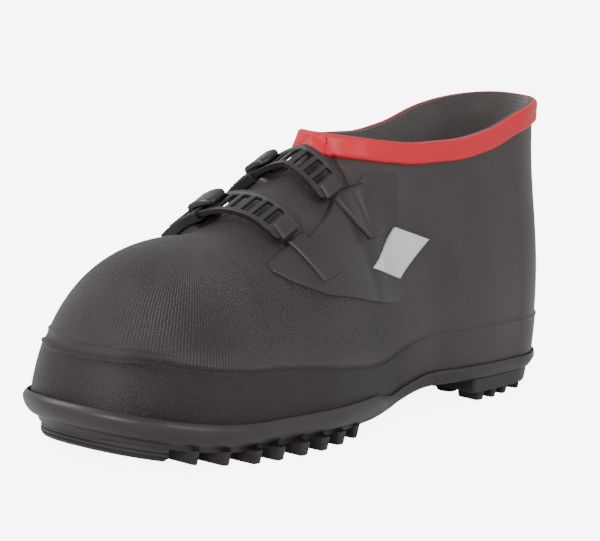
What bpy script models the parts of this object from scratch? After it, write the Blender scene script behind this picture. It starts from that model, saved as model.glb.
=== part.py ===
"""Winter overshoe for the right foot, a low rubber shell that is worn over a work shoe on ice.

Metres, +X to the toe, +Y to the inner (medial) side of the right foot, +Z up, floor at Z = 0.
The upper is one shell whose walls are Bezier section curves. Each curve, called a line here,
starts at the feather edge, where the wall meets the sole, and climbs to the ridge of the vamp
or to the collar. The lines fan around the toe and the heel and stand square to the length
between them. Sole, insole, foxing, binding and every overlay are worked out from the same lines.
"""

import math

import bmesh
import bpy
import numpy as np
from mathutils import Vector
from mathutils.bvhtree import BVHTree

# Driving sizes of the shell.
LENGTH = 0.346
BALL_HALF = 0.0600
HEEL_HALF = 0.0460
INSTEP_HEIGHT = 0.1365
DOME_HEIGHT = 0.0938
COLLAR_BACK_HEIGHT = 0.1495
COLLAR_HALF = 0.0330
WALL = 0.0026
FIT_GAP = 0.0003

# Driving sizes of the sole.
LUG_HEIGHT = 0.0055
SLAB_THICK = 0.0050
FLANGE_REACH = 0.0050
FLANGE_HEIGHT = 0.0085
FLANGE_UNDERCUT = 0.0045
TOE_SPRING = 0.0090
TOE_SPRING_LENGTH = 0.075
HEEL_BLOCK_HEIGHT = 0.0130
PLATE_THICK = 0.0065
INSOLE_THICK = 0.0025

# Height of the foxing line above the feather edge, at places along X.
FOXING_STATIONS = (-0.173, -0.060, 0.007, 0.090, 0.150, 0.173)
FOXING_HEIGHTS = (0.0210, 0.0200, 0.0210, 0.0285, 0.0300, 0.0240)

# Where the lines fan out, as shares of the length from the heel.
HEEL_CENTRE = 0.136
TOE_CENTRE = 0.755
THROAT = 0.484
THROAT_ROUND = 0.035

# How round the two ends are in plan: 2 is an ellipse, more is squarer.
TOE_ROUNDNESS = {1: 2.25, -1: 1.98}
HEEL_ROUNDNESS = 2.15

# One row for each section from the heel centre to the toe centre.
SECTION_COLUMNS = ("station", "medial", "lateral", "top", "opening", "crown", "bulge")
# station: share of the length; medial, lateral: half-breadths as shares of BALL_HALF;
# top: ridge or rim height as a share of INSTEP_HEIGHT; opening: half-opening of the collar as a
# share of COLLAR_HALF (ahead of the throat, where the collar is shut, it only steers the
# section); crown: how flat the top of the section is; bulge: in millimetres, how far
# the wall's handle leans outward.
SECTIONS = (
    (HEEL_CENTRE, 0.760, 0.755, 1.040, 1.00, 0.10, 3.0),
    (0.206, 0.775, 0.775, 0.992, 1.02, 0.12, 3.5),
    (0.288, 0.745, 0.800, 0.968, 0.96, 0.14, 4.5),
    (0.358, 0.690, 0.830, 0.968, 0.85, 0.17, 6.0),
    (0.415, 0.710, 0.870, 0.980, 0.68, 0.20, 6.5),
    (THROAT, 0.820, 0.940, 1.000, 0.40, 0.26, 6.0),
    (0.503, 0.862, 0.960, 0.925, 0.30, 0.28, 5.5),
    (0.530, 0.910, 0.985, 0.884, 0.20, 0.34, 5.0),
    (0.585, 0.970, 1.010, 0.815, 0.06, 0.45, 4.0),
    (0.640, 1.000, 1.010, 0.733, 0.00, 0.52, 3.0),
    (0.700, 0.990, 0.985, 0.690, 0.00, 0.58, 2.0),
    (TOE_CENTRE, 0.970, 0.945, 0.680, 0.00, 0.64, 1.0),
)


def column(name):
    """One column of the section table as an array."""
    place = SECTION_COLUMNS.index(name)
    return np.array([row[place] for row in SECTIONS])


def smooth(stations, values, at):
    """A curve through (stations, values) with no overshoot: a cubic between points, its slopes
    the harmonic mean of the slopes on each side."""
    stations, values = np.asarray(stations, float), np.asarray(values, float)
    step = np.diff(stations)
    slope = np.diff(values) / step
    left, right = slope[:-1], slope[1:]
    same = left * right > 0
    mean = np.where(same, 2 * left * right / np.where(same, left + right, 1.0), 0.0)
    tangent = np.concatenate([[slope[0]], mean, [slope[-1]]])
    at = np.clip(at, stations[0], stations[-1])
    i = np.clip(np.searchsorted(stations, at) - 1, 0, len(step) - 1)
    t = (at - stations[i]) / step[i]
    return (
        (2 * t**3 - 3 * t**2 + 1) * values[i]
        + (t**3 - 2 * t**2 + t) * step[i] * tangent[i]
        + (3 * t**2 - 2 * t**3) * values[i + 1]
        + (t**3 - t**2) * step[i] * tangent[i + 1]
    )


def ease(low, high, x):
    """0 below low, 1 above high, and a smooth S between them."""
    t = np.clip((x - low) / (high - low), 0, 1)
    return t * t * (3 - 2 * t)


def station_x(share):
    """A share of the length from the heel, as a place along X."""
    return (share - 0.5) * LENGTH


def from_toe(distance):
    """A distance back from the toe tip, as a place along X."""
    return LENGTH / 2 - distance


def spring(x):
    """How far the underside has lifted off the floor towards the toe."""
    start = LENGTH / 2 - TOE_SPRING_LENGTH
    t = np.clip((np.asarray(x, float) - start) / TOE_SPRING_LENGTH, 0, 1.1)
    return TOE_SPRING * t**1.8


def underside(x):
    """Height of the sole plate's lower face: the lug field in front, then the arched waist,
    which meets the top of the heel block."""
    field = LUG_HEIGHT + spring(x)
    rear = HEEL_BLOCK_HEIGHT + FIT_GAP
    return field + (rear - LUG_HEIGHT) * (1 - ease(from_toe(0.235), from_toe(0.172), x))


def seat(x):
    """Height of the sole plate's upper face, on which the upper and the insole stand."""
    return underside(x) + PLATE_THICK


def foxing_height(x):
    """How far the foxing's top line runs above the feather edge, lower behind the ball."""
    return smooth(FOXING_STATIONS, FOXING_HEIGHTS, x)


def flange_share(x):
    """1 where the bumper flange runs round the forefoot, 0 at waist and heel."""
    return ease(from_toe(0.196), from_toe(0.160), x)


class Lines:
    """The section curves of the shell, as arrays with one entry for each line, in a closed loop
    from the toe tip along the medial side to the heel and back along the lateral side."""

    def __init__(self, toe, side, heel):
        medial = self.half(1, toe, side, heel)
        lateral = self.half(-1, toe, side, heel)
        for name in medial:
            both = np.concatenate([medial[name], lateral[name][-2:0:-1]])
            setattr(self, name, both)
        self.count = len(self.axis)

    @staticmethod
    def half(sign, toe, side, heel):
        """The lines of one side. Fan lines turn about the toe and heel centres."""
        breadth = BALL_HALF * column("medial" if sign > 0 else "lateral")
        stations = column("station")
        toe_turn = np.linspace(0, math.pi / 2, toe + 1)
        along = np.interp(
            np.linspace(0, 1, side + 1)[1:],
            (0, 10 / 26, 12 / 26, 15 / 26, 18 / 26, 1),
            (TOE_CENTRE, 0.505, THROAT, THROAT - 0.018, THROAT - 0.055, HEEL_CENTRE),
        )
        heel_turn = np.linspace(math.pi / 2, 0, heel + 1)[1:]
        fan_toe, fan_heel = np.sin(toe_turn) ** 2, np.sin(heel_turn) ** 2

        def row(name):
            return smooth(stations, column(name), along)

        soft = smooth(stations, column("opening"), along) * COLLAR_HALF
        back = np.clip((THROAT - along) / THROAT_ROUND, 0, 1)
        opening = soft * np.sqrt(back * (2 - back))

        def rounded(turn, forward, sideways, power):
            return (
                (np.cos(turn) / forward) ** power + (np.sin(turn) / sideways) ** power
            ) ** (-1 / power)

        toe_reach = LENGTH / 2 - FLANGE_REACH - station_x(TOE_CENTRE)
        heel_reach = LENGTH / 2 + station_x(HEEL_CENTRE) - HEEL_INSET
        centre = {name: column(name)[0] for name in SECTION_COLUMNS}
        front = {name: column(name)[-1] for name in SECTION_COLUMNS}
        r_toe = rounded(toe_turn, toe_reach, breadth[-1], TOE_ROUNDNESS[sign])
        r_heel = rounded(heel_turn, heel_reach, breadth[0], HEEL_ROUNDNESS)
        rim_side = centre["opening"] * COLLAR_HALF
        rim_back = LENGTH / 2 + station_x(HEEL_CENTRE) - COLLAR_INSET
        r_rim = rounded(heel_turn, rim_back, rim_side, 2.0)
        top_side = centre["top"] * INSTEP_HEIGHT
        lines = {
            "axis": np.concatenate(
                [
                    np.full(toe + 1, station_x(TOE_CENTRE)),
                    station_x(along),
                    np.full(heel, station_x(HEEL_CENTRE)),
                ]
            ),
            "dx": np.concatenate(
                [np.cos(toe_turn), np.zeros(side), -np.cos(heel_turn)]
            ),
            "dy": sign
            * np.concatenate([np.sin(toe_turn), np.ones(side), np.sin(heel_turn)]),
            "foot": np.concatenate([r_toe, smooth(stations, breadth, along), r_heel]),
            "rim": np.concatenate([np.zeros(toe + 1), opening, r_rim]),
            "soft": np.concatenate([np.zeros(toe + 1), soft, r_rim]),
            "top": np.concatenate(
                [
                    np.full(toe + 1, DOME_HEIGHT),
                    row("top") * INSTEP_HEIGHT,
                    top_side + (COLLAR_BACK_HEIGHT - top_side) * (1 - fan_heel),
                ]
            ),
            "crown": np.concatenate(
                [
                    TOE_CROWN + (front["crown"] - TOE_CROWN) * fan_toe,
                    row("crown"),
                    np.full(heel, centre["crown"]),
                ]
            ),
            "bulge": 0.001
            * np.concatenate(
                [
                    TOE_LEAN + (front["bulge"] - TOE_LEAN) * fan_toe,
                    row("bulge"),
                    HEEL_LEAN + (centre["bulge"] - HEEL_LEAN) * fan_heel,
                ]
            ),
        }
        return lines

    def base(self):
        """Height of each line's lower end."""
        return seat(self.axis + self.dx * self.foot) + FIT_GAP

    def profile(self, v):
        """Radius and height of every line at the shares v, as arrays (line, share)."""
        v = np.asarray(v, float)
        if v.ndim == 1:
            v = np.broadcast_to(v, (self.count, len(v)))
        low = self.base()[:, None]
        tall = self.top[:, None] - low
        open_share = ease(0.0, 0.75, self.soft / COLLAR_HALF)[:, None]
        r = [
            self.foot[:, None],
            (self.foot + self.bulge)[:, None],
            (self.soft + self.crown * (self.foot - self.soft))[:, None],
            self.rim[:, None],
        ]
        z = [
            low,
            low + WALL_RISE * tall,
            self.top[:, None] - COLLAR_DROP * open_share * tall,
            self.top[:, None],
        ]
        weights = [(1 - v) ** 3, 3 * v * (1 - v) ** 2, 3 * v**2 * (1 - v), v**3]
        return (
            sum(w * part for w, part in zip(weights, r)),
            sum(w * part for w, part in zip(weights, z)),
        )

    def points(self, v):
        """Points of the shell's outer face at the shares v, as an array (line, share, 3)."""
        r, z = self.profile(v)
        x = self.axis[:, None] + self.dx[:, None] * r
        y = self.dy[:, None] * r
        return np.stack([x, y, z], axis=-1)

    def share_at(self, height):
        """The share of each line at which it reaches a height."""
        tries = np.linspace(0, 1, 201)
        _, z = self.profile(tries)
        return np.array([np.interp(h, row, tries) for h, row in zip(height, z)])

    def outline(self, reach):
        """Plan points of the feather edge, moved outward by reach."""
        r = self.foot + reach
        return np.stack([self.axis + self.dx * r, self.dy * r], axis=-1)


# Ends of the shell: how far in the feather edge and the collar stand from the heel's hindmost
# point, and how the toe and heel walls lean (millimetres at the handle) and curve.
HEEL_INSET = 0.0040
COLLAR_INSET = 0.0024
TOE_CROWN = 0.74
TOE_LEAN = -2.5
HEEL_LEAN = 4.0
WALL_RISE = 0.50
COLLAR_DROP = 0.38


def clear_scene():
    for thing in list(bpy.data.objects):
        bpy.data.objects.remove(thing)


def material(name, colour, roughness, metallic=0.0):
    made = bpy.data.materials.new(name)
    made.use_nodes = True
    shader = made.node_tree.nodes["Principled BSDF"]
    shader.inputs["Base Color"].default_value = (*colour, 1.0)
    shader.inputs["Roughness"].default_value = roughness
    shader.inputs["Metallic"].default_value = metallic
    return made


def add_object(name, points, faces, finish, smooth_angle=35):
    """A mesh object from points and faces, shaded smooth except at edges sharper than the angle."""
    mesh = bpy.data.meshes.new(name)
    mesh.from_pydata([tuple(map(float, p)) for p in points], [], faces)
    mesh.update()
    mesh.shade_smooth()
    mesh.set_sharp_from_angle(angle=math.radians(smooth_angle))
    mesh.materials.append(finish)
    made = bpy.data.objects.new(name, mesh)
    bpy.context.collection.objects.link(made)
    return made


def weld(points, faces, within=1e-6):
    """Points that coincide made one, and the faces that this collapses dropped."""
    _, first, index = np.unique(
        np.round(np.asarray(points) / within).astype(np.int64),
        axis=0,
        return_index=True,
        return_inverse=True,
    )
    index = index.reshape(-1)
    kept = []
    for face in faces:
        ring = []
        for corner in (int(index[i]) for i in face):
            if not ring or corner != ring[-1]:
                ring.append(corner)
        if ring[0] == ring[-1]:
            ring.pop()
        if len(ring) > 2:
            kept.append(ring)
    return np.asarray(points)[first], kept


def normals(grid):
    """Outward unit normals of a grid (line, share, 3) that is closed along its lines."""
    along = np.roll(grid, -1, axis=0) - np.roll(grid, 1, axis=0)
    up = np.gradient(grid, axis=1)
    n = np.cross(along, up)
    length = np.linalg.norm(n, axis=-1, keepdims=True)
    pole = length[..., 0] < 1e-12
    n = np.where(pole[..., None], (0.0, 0.0, 1.0), n / np.maximum(length, 1e-12))
    centre = np.array([0.0, 0.0, DOME_HEIGHT / 2])
    flip = np.sign(np.sum(n * (grid - centre), axis=-1, keepdims=True).mean())
    return n * np.where(pole[..., None], 1.0, flip)


def closed_loops(rings):
    """Faces that join rings of equal length, one after another, each ring closed."""
    size = len(rings[0])
    faces = []
    for r in range(len(rings) - 1):
        for i in range(size):
            j = (i + 1) % size
            faces.append((r * size + i, r * size + j, (r + 1) * size + j, (r + 1) * size + i))
    return np.concatenate(rings), faces


def ladder_faces(start, count):
    """Faces across a ring that runs down one side and back up the other, rung by rung."""
    faces = []
    half = count // 2
    for i in range(half):
        ring = (start + i, start + i + 1, start + (count - i - 1) % count, start + (count - i) % count)
        faces.append(tuple(dict.fromkeys(ring)))
    return faces


def outward(made):
    """The object's faces turned to face out."""
    work = bmesh.new()
    work.from_mesh(made.data)
    bmesh.ops.recalc_face_normals(work, faces=work.faces)
    work.to_mesh(made.data)
    work.free()
    return made


def combine(target, others, operation="UNION"):
    """The target joined with, or cut by, every other object, and the others removed."""
    for other in others:
        step = target.modifiers.new(operation.lower(), "BOOLEAN")
        step.operation = operation
        step.solver = "EXACT"
        step.object = other
    graph = bpy.context.evaluated_depsgraph_get()
    mesh = bpy.data.meshes.new_from_object(target.evaluated_get(graph))
    target.modifiers.clear()
    target.data = mesh
    for other in others:
        bpy.data.objects.remove(other)
    work = bmesh.new()
    work.from_mesh(mesh)
    bmesh.ops.remove_doubles(work, verts=work.verts, dist=2e-5)
    bmesh.ops.dissolve_degenerate(work, edges=work.edges, dist=2e-5)
    work.to_mesh(mesh)
    work.free()
    mesh.shade_smooth()
    mesh.set_sharp_from_angle(angle=math.radians(35))
    return target


def prism(name, plan, low, high, finish, draft=0.0):
    """A block over a plan polygon. low and high are heights, or functions of x; the lower face is
    drawn in by the draft."""
    plan = np.asarray(plan, float)
    middle = plan.mean(axis=0)
    span = np.linalg.norm(plan - middle, axis=1).mean()
    small = middle + (plan - middle) * (1 - draft / span)
    height = [h if callable(h) else (lambda x, h=h: np.full(np.shape(x), h)) for h in (low, high)]
    bottom = np.column_stack([small, height[0](small[:, 0])])
    top = np.column_stack([plan, height[1](plan[:, 0])])
    points, faces = closed_loops([bottom, top])
    size = len(plan)
    faces += [tuple(range(size)), tuple(range(size, 2 * size))]
    return outward(add_object(name, points, faces, finish))


def lathe(name, centre, profile, sides, finish):
    """A turned piece about a vertical axis: profile rows are (radius, height), first and last on
    the axis."""
    turn = np.linspace(0, 2 * math.pi, sides, endpoint=False)
    rings = [
        np.column_stack(
            [centre[0] + r * np.cos(turn), centre[1] + r * np.sin(turn), np.full(sides, h)]
        )
        for r, h in profile[1:-1]
    ]
    points, faces = closed_loops(rings)
    points = np.concatenate([points, [(*centre, profile[0][1])], [(*centre, profile[-1][1])]])
    first, last = len(points) - 2, len(points) - 1
    base = (len(rings) - 1) * sides
    for i in range(sides):
        j = (i + 1) % sides
        faces.append((first, j, i))
        faces.append((last, base + i, base + j))
    return outward(add_object(name, points, faces, finish))


def build_upper(lines, finish):
    """The shell: outer and inner walls, the rim between them and the strip at the feather edge.
    The foxing is a step of the outer wall."""
    edge = lines.axis + lines.dx * lines.foot
    fox = lines.share_at(lines.base() + foxing_height(edge))[:, None]
    rise = np.linspace(0, 1, UPPER_ROWS) ** 0.92
    v = np.concatenate([0 * fox, fox, fox + 0.004, fox + (1 - fox) * rise[1:]], axis=1)
    v[:, 2] = fox[:, 0] + 0.006
    outer = lines.points(v)
    n = normals(outer)
    outer[:, :2] += n[:, :2] * FOXING_STEP
    plain = lines.points(v)
    n = ridge_normals(lines, n)
    inner = plain - n * WALL
    inner[:, 0, 2] = outer[:, 0, 2]
    rows = outer.shape[1]
    points = np.concatenate([outer.reshape(-1, 3), inner.reshape(-1, 3)])
    size = lines.count * rows
    faces = []
    for i in range(lines.count):
        j = (i + 1) % lines.count
        for k in range(rows - 1):
            a, b = i * rows + k, j * rows + k
            faces.append((a, b, b + 1, a + 1))
            if k != 1:
                upper = 2 if k == 0 else 1
                faces.append((size + a + upper, size + b + upper, size + b, size + a))
        a, b = i * rows, j * rows
        faces.append((size + a, size + b, b, a))
        if max(lines.rim[i], lines.rim[j]) > 0:
            a, b = a + rows - 1, b + rows - 1
            faces.append((a, b, size + b, size + a))
    points, faces = weld(points, faces)
    used = sorted({i for face in faces for i in face})
    place = {old: new for new, old in enumerate(used)}
    faces = [[place[i] for i in face] for face in faces]
    return outward(add_object("upper", points[used], faces, finish))


def ridge_normals(lines, n):
    """The normals with one shared, upright normal wherever two lines meet on the ridge."""
    n = n.copy()
    for i in range(lines.count):
        if lines.rim[i] == 0:
            shared = n[i, -1] + n[(lines.count - i) % lines.count, -1]
            if abs(lines.dx[i]) > 1e-9:
                shared = np.array([0.0, 0.0, 1.0])
            shared[1] = 0.0
            n[i, -1] = shared / np.linalg.norm(shared)
    for i in range(lines.count):
        mirrored = (lines.count - i) % lines.count
        if lines.rim[i] == 0 and i > mirrored:
            n[i, -1] = n[mirrored, -1]
    return n


def tree_of(made):
    """A tree for casting rays at one object."""
    points = [v.co.copy() for v in made.data.vertices]
    return BVHTree.FromPolygons(points, [tuple(f.vertices) for f in made.data.polygons])


def on_side(tree, sign, x, z):
    """The point and outward normal of the wall at (x, z), seen square from one side."""
    hit, normal, _, _ = tree.ray_cast(Vector((x, sign * LENGTH, z)), Vector((0, -sign, 0)))
    if hit is None:
        raise RuntimeError(f"no wall at x={x:.4f} z={z:.4f}")
    if normal.y * sign < 0:
        normal = -normal
    return np.array(hit), np.array(normal)


def spread(edge, stations):
    """Points of an edge (x, z) at the given stations along X."""
    edge = np.asarray(edge, float)
    edge = edge[np.argsort(edge[:, 0])]
    return [(x, np.interp(x, edge[:, 0], edge[:, 1])) for x in stations]


def overlay(name, tree, sign, low, high, rows, off, thick, finish):
    """A sheet that follows the wall. low and high are lists of (x, z) along its two long edges,
    seen from the side; it lies off the wall by off and has the thickness thick."""
    columns = len(low)
    points = np.zeros((columns, rows, 3))
    facing = np.zeros((columns, rows, 3))
    for i, ((x0, z0), (x1, z1)) in enumerate(zip(low, high)):
        for j, t in enumerate(np.linspace(0, 1, rows)):
            points[i, j], facing[i, j] = on_side(tree, sign, x0 + t * (x1 - x0), z0 + t * (z1 - z0))
    for _ in range(OVERLAY_SMOOTHING):
        padded = np.pad(facing, ((1, 1), (1, 1), (0, 0)), mode="edge")
        facing = (
            padded[1:-1, 1:-1] * 2
            + padded[:-2, 1:-1]
            + padded[2:, 1:-1]
            + padded[1:-1, :-2]
            + padded[1:-1, 2:]
        )
        facing /= np.linalg.norm(facing, axis=-1, keepdims=True)
    near, far = points + facing * off, points + facing * (off + thick)
    size = columns * rows
    faces = []
    for i in range(columns - 1):
        for j in range(rows - 1):
            a = i * rows + j
            faces.append((a, a + rows, a + rows + 1, a + 1))
            faces.append((size + a, size + a + 1, size + a + rows + 1, size + a + rows))
    rim = (
        [(i, 0) for i in range(columns)]
        + [(columns - 1, j) for j in range(1, rows)]
        + [(i, rows - 1) for i in range(columns - 2, -1, -1)]
        + [(0, j) for j in range(rows - 2, 0, -1)]
    )
    for (i, j), (k, m) in zip(rim, rim[1:] + rim[:1]):
        a, b = i * rows + j, k * rows + m
        faces.append((a, b, size + b, size + a))
    return outward(
        add_object(name, np.concatenate([near.reshape(-1, 3), far.reshape(-1, 3)]), faces, finish)
    )


def build_binding(lines, wall, finish):
    """The band round the outside of the collar: walked down the wall from the rim in steps."""
    points = [v.co.copy() for v in wall.data.vertices]
    tree = BVHTree.FromPolygons(points, [tuple(f.vertices) for f in wall.data.polygons])
    rim = lines.points(np.array([1.0]))[:, 0]
    keep = lines.rim > 1e-6
    front = np.where(~keep & np.roll(keep, 1) | ~keep & np.roll(keep, -1))[0]
    ids = [i for i in range(lines.count) if keep[i] or i == front[0]]
    ids.sort(key=lambda i: (i < front[0], i))
    path = rim[ids]
    tangent = np.roll(path, -1, axis=0) - np.roll(path, 1, axis=0)
    out = np.column_stack([tangent[:, 1], -tangent[:, 0], 0 * tangent[:, 0]])
    out /= np.linalg.norm(out, axis=1, keepdims=True)
    centre = path.mean(axis=0)
    out *= np.sign(np.sum(out * (path - centre), axis=1).sum())
    rows = [path]
    here = path.copy()
    for step in range(BINDING_STEPS):
        there = []
        for p, o in zip(here, out):
            aim = Vector(p) + Vector(o) * 0.02 + Vector((0, 0, -BINDING_TALL / BINDING_STEPS))
            hit = tree.ray_cast(aim, Vector(-o))[0]
            there.append(tuple(hit) if hit is not None else tuple(tree.find_nearest(aim)[0]))
        here = np.array(there)
        rows.append(here)
    grid = np.stack(rows, axis=1)[:, ::-1]
    n = normals_of_band(grid, out)
    near, far = grid + n * BINDING_GAP, grid + n * (BINDING_GAP + BINDING_THICK)
    near[:, -1, 2] = grid[:, -1, 2]
    far[:, -1, 2] = grid[:, -1, 2] - 0.0002
    far[:, 0] = grid[:, 0] + n[:, 0] * (BINDING_GAP + 0.6 * BINDING_THICK)
    rings = [near[:, k] for k in range(grid.shape[1])] + [
        far[:, k] for k in range(grid.shape[1] - 1, -1, -1)
    ]
    rings.append(rings[0])
    points, faces = closed_loops(rings)
    points, faces = weld(points, faces)
    return outward(add_object("collar_binding", points, faces, finish))


def normals_of_band(grid, out):
    """Unit normals of the band's grid (place, row, 3), facing the way of out."""
    along = np.roll(grid, -1, axis=0) - np.roll(grid, 1, axis=0)
    n = np.cross(along, np.gradient(grid, axis=1))
    n /= np.linalg.norm(n, axis=-1, keepdims=True)
    n *= np.sign(np.sum(n * out[:, None], axis=-1, keepdims=True))
    n[..., 2] = np.clip(n[..., 2], 0, 0.5)
    return n / np.linalg.norm(n, axis=-1, keepdims=True)


# One row for each point of the sole's edge section, from the seat round to the lug field.
# reach: how far it stands out from the feather edge; up: height above the seat; down: height
# above the underside (one of up and down is used); flat: the reach where there is no flange.
EDGE_COLUMNS = ("reach", "up", "down", "flat", "flat_up")
EDGE = (
    (0.0013, 0.0000, None, 0.0011, 0.0000),
    (0.0014, 0.0066, None, 0.0013, 0.0008),
    (0.0021, 0.0076, None, 0.0018, 0.0012),
    (0.0038, 0.0050, None, 0.0022, 0.0002),
    (0.0028, 0.0012, None, 0.0022, -0.0020),
    (0.0001, None, 0.0043, 0.0014, 0.0030),
    (-0.0034, None, 0.0022, 0.0004, 0.0010),
    (-0.0045, None, 0.0000, -0.0010, 0.0000),
)

# Lugs of the forefoot, distances in millimetres back from the toe and out from the middle line.
# inner and outer: front and rear of the lug's two ends; at: how far out each end stands.
LUG_COLUMNS = ("inner_front", "inner_rear", "inner_at", "outer_front", "outer_rear", "outer_at")
MEDIAL_LUGS = (
    (39.7, 49.4, 24.0, 39.2, 43.5, 48.0),
    (53.2, 64.5, 29.0, 53.7, 59.1, 53.5),
    (69.1, 80.7, 33.0, 69.9, 75.9, 58.0),
    (83.3, 94.3, 36.0, 84.4, 90.2, 60.0),
    (100.5, 110.8, 38.0, 100.5, 106.9, 61.0),
    (115.6, 127.1, 38.0, 116.4, 122.6, 60.5),
    (131.0, 143.6, 36.5, 132.2, 138.4, 58.0),
    (147.6, 159.1, 33.0, 149.9, 154.5, 54.0),
)
LATERAL_LUGS = (
    (45.0, 59.0, 19.0, 53.0, 57.8, 46.0),
    (65.0, 75.4, 29.0, 70.0, 74.6, 53.0),
    (80.9, 91.3, 31.0, 86.8, 91.2, 57.5),
    (96.5, 107.4, 31.0, 102.3, 107.2, 60.0),
    (112.8, 123.1, 31.0, 118.0, 123.0, 61.0),
    (128.2, 139.0, 31.0, 134.0, 139.0, 61.0),
    (143.6, 155.0, 31.0, 149.0, 154.0, 58.5),
    (159.0, 169.8, 30.0, 164.0, 169.0, 55.0),
)

# Chevrons: front and rear of the arm ends and of the point, all from the toe, and the reach of
# the two arms (lateral, medial).
CHEVRON_COLUMNS = ("end_front", "end_rear", "point_front", "point_rear", "lateral", "medial")
CHEVRONS = (
    (64.0, 71.0, 57.0, 64.5, 15.0, 26.0),
    (97.0, 104.0, 87.0, 95.0, 24.0, 32.0),
    (129.0, 136.0, 120.0, 127.5, 24.0, 31.0),
)

# Bosses and studs: distance from the toe, place across (lateral is positive), 1 for a steel stud.
BOSSES = (
    (51.0, 5.0, 1), (47.8, -17.2, 1), (84.4, 18.4, 0), (76.3, -5.1, 0), (78.9, -27.2, 0),
    (108.5, -2.9, 1), (117.5, 23.1, 0), (110.4, -29.4, 0), (141.3, -2.6, 1),
    (149.3, 21.4, 0), (142.4, -26.7, 0),
)
LUG_STUDS = ((102.7, 36.0), (134.7, 36.5), (89.9, -42.5), (121.8, -43.0))

# The heel, distances in millimetres forward from its hindmost point.
HEEL_STEP = (77.0, 83.0)
HEEL_LUGS = (
    (1, 64.4, 73.0, 28.0, 66.0, 73.0, 41.5), (1, 53.3, 60.2, 28.0, 55.0, 60.2, 41.5),
    (1, 40.5, 47.4, 27.0, 42.0, 47.4, 39.5), (-1, 61.8, 69.7, 22.0, 61.8, 67.5, 39.0),
    (-1, 48.5, 57.0, 22.0, 48.5, 55.0, 39.0), (-1, 35.1, 44.2, 22.0, 36.0, 43.0, 37.0),
)
HEEL_BOSSES = (
    (65.0, 14.6, 0), (40.7, 12.2, 0), (69.4, -2.8, 1), (44.4, -3.4, 1), (67.4, -18.6, 0),
    (43.9, -17.6, 0),
)
HEEL_LUG_STUDS = ((62.8, 27.5), (39.6, 27.0), (67.1, -33.3), (43.6, -32.6))

# Small sizes of the pieces.
HEEL_CHEVRON = (49.6, 56.5, 54.3, 63.4, 18.0, 24.0)
FOXING_STEP = 0.0006
UPPER_ROWS = 10
BINDING_TALL = 0.0105
BINDING_THICK = 0.0013
BINDING_GAP = 0.0010
BINDING_STEPS = 3
BOSS_RADIUS = 0.0052
BOSS_SHY = 0.0010
STUD_RADIUS = 0.0021
STUD_TIP = 0.00025
STUD_POCKET = 0.0035


def edge_rings(lines):
    """Rings of the sole's edge, from the seat round to the lug field."""
    rings = []
    for reach, up, down, flat, flat_up in EDGE:
        plan_x = lines.axis + lines.dx * lines.foot
        share = flange_share(plan_x)
        out = flat + (reach - flat) * share
        if up is not None:
            rise = flat_up + (up - flat_up) * share
            level = seat
        else:
            rise = flat_up + (down - flat_up) * share
            level = underside
        radius = lines.foot + out
        if up is not None and up > 0:
            v = lines.share_at(lines.base() + np.maximum(rise, 0))
            r, _ = lines.profile(np.repeat(v[:, None], 2, axis=1))
            radius = np.maximum(radius, r[:, 0] + FOXING_STEP + FIT_GAP + 0.0002)
        x = lines.axis + lines.dx * radius
        rings.append(np.column_stack([x, lines.dy * radius, level(plan_x) + rise]))
    return rings


def lug(name, sign, row, place, low, high, finish):
    """One tread lug from a row of the lug table; place turns the row's distance into x."""
    f0, r0, at0, f1, r1, at1 = row
    plan = [(f0, at0), (f1, at1), (r1, at1), (r0, at0)]
    plan = [(place(d * 0.001), sign * a * 0.001) for d, a in plan]
    return prism(name, plan, low, high, finish, draft=0.0007)


def chevron(name, row, place, low, high, finish):
    """A V-shaped tread bar with its point towards the toe."""
    ef, er, pf, pr, lateral, medial = (0.001 * v for v in row)
    middle = 0.0035
    plan = [
        (place(ef), -lateral), (place(pf), middle - 0.003), (place(pf), middle + 0.001),
        (place(ef), medial), (place(er), medial), (place(pr), middle + 0.001),
        (place(pr), middle - 0.003), (place(er), -lateral),
    ]
    return prism(name, plan, low, high, finish, draft=0.0005)


def boss(name, centre, low, high, deep, finish):
    """A round pad with a blind hole for a stud."""
    hole = STUD_RADIUS + FIT_GAP
    profile = (
        (0, high), (BOSS_RADIUS + 0.0006, high), (BOSS_RADIUS, low), (hole, low),
        (hole, low + deep), (0, low + deep),
    )
    return lathe(name, centre, profile, 12, finish)


def stud(name, centre, tip, top, finish):
    """A steel ice stud: a pin with a narrower tip."""
    profile = (
        (0, top), (STUD_RADIUS, top), (STUD_RADIUS, tip + 0.0009), (STUD_RADIUS * 0.6, tip),
        (0, tip),
    )
    return lathe(name, centre, profile, 10, finish)


def build_outsole(lines, finish):
    """Sole plate with its bumper flange, lug field and arched waist, in one piece."""
    rings = edge_rings(lines)
    points, faces = closed_loops(rings)
    faces += ladder_faces(0, lines.count)
    faces += ladder_faces((len(rings) - 1) * lines.count, lines.count)
    plate = outward(add_object("outsole", points, faces, finish))
    sunk = lambda x: underside(x) + 0.0012
    ground = lambda x: spring(x)
    pieces = []
    for sign, table in ((1, MEDIAL_LUGS), (-1, LATERAL_LUGS)):
        for i, row in enumerate(table):
            pieces.append(lug(f"lug{sign}{i}", sign, row, from_toe, ground, sunk, finish))
    for i, row in enumerate(CHEVRONS):
        pieces.append(chevron(f"chevron{i}", row, from_toe, ground, sunk, finish))
    pieces.append(build_toe_lug(lines, ground, sunk, finish))
    pieces += [
        boss(
            f"boss{i}", (from_toe(t * 0.001), -y * 0.001), float(spring(from_toe(t * 0.001))) + BOSS_SHY,
            float(sunk(from_toe(t * 0.001))), STUD_POCKET, finish,
        )
        for i, (t, y, _) in enumerate(BOSSES)
    ]
    combine(plate, pieces)
    return combine(plate, pockets(LUG_STUDS, from_toe, finish), "DIFFERENCE")


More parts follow.
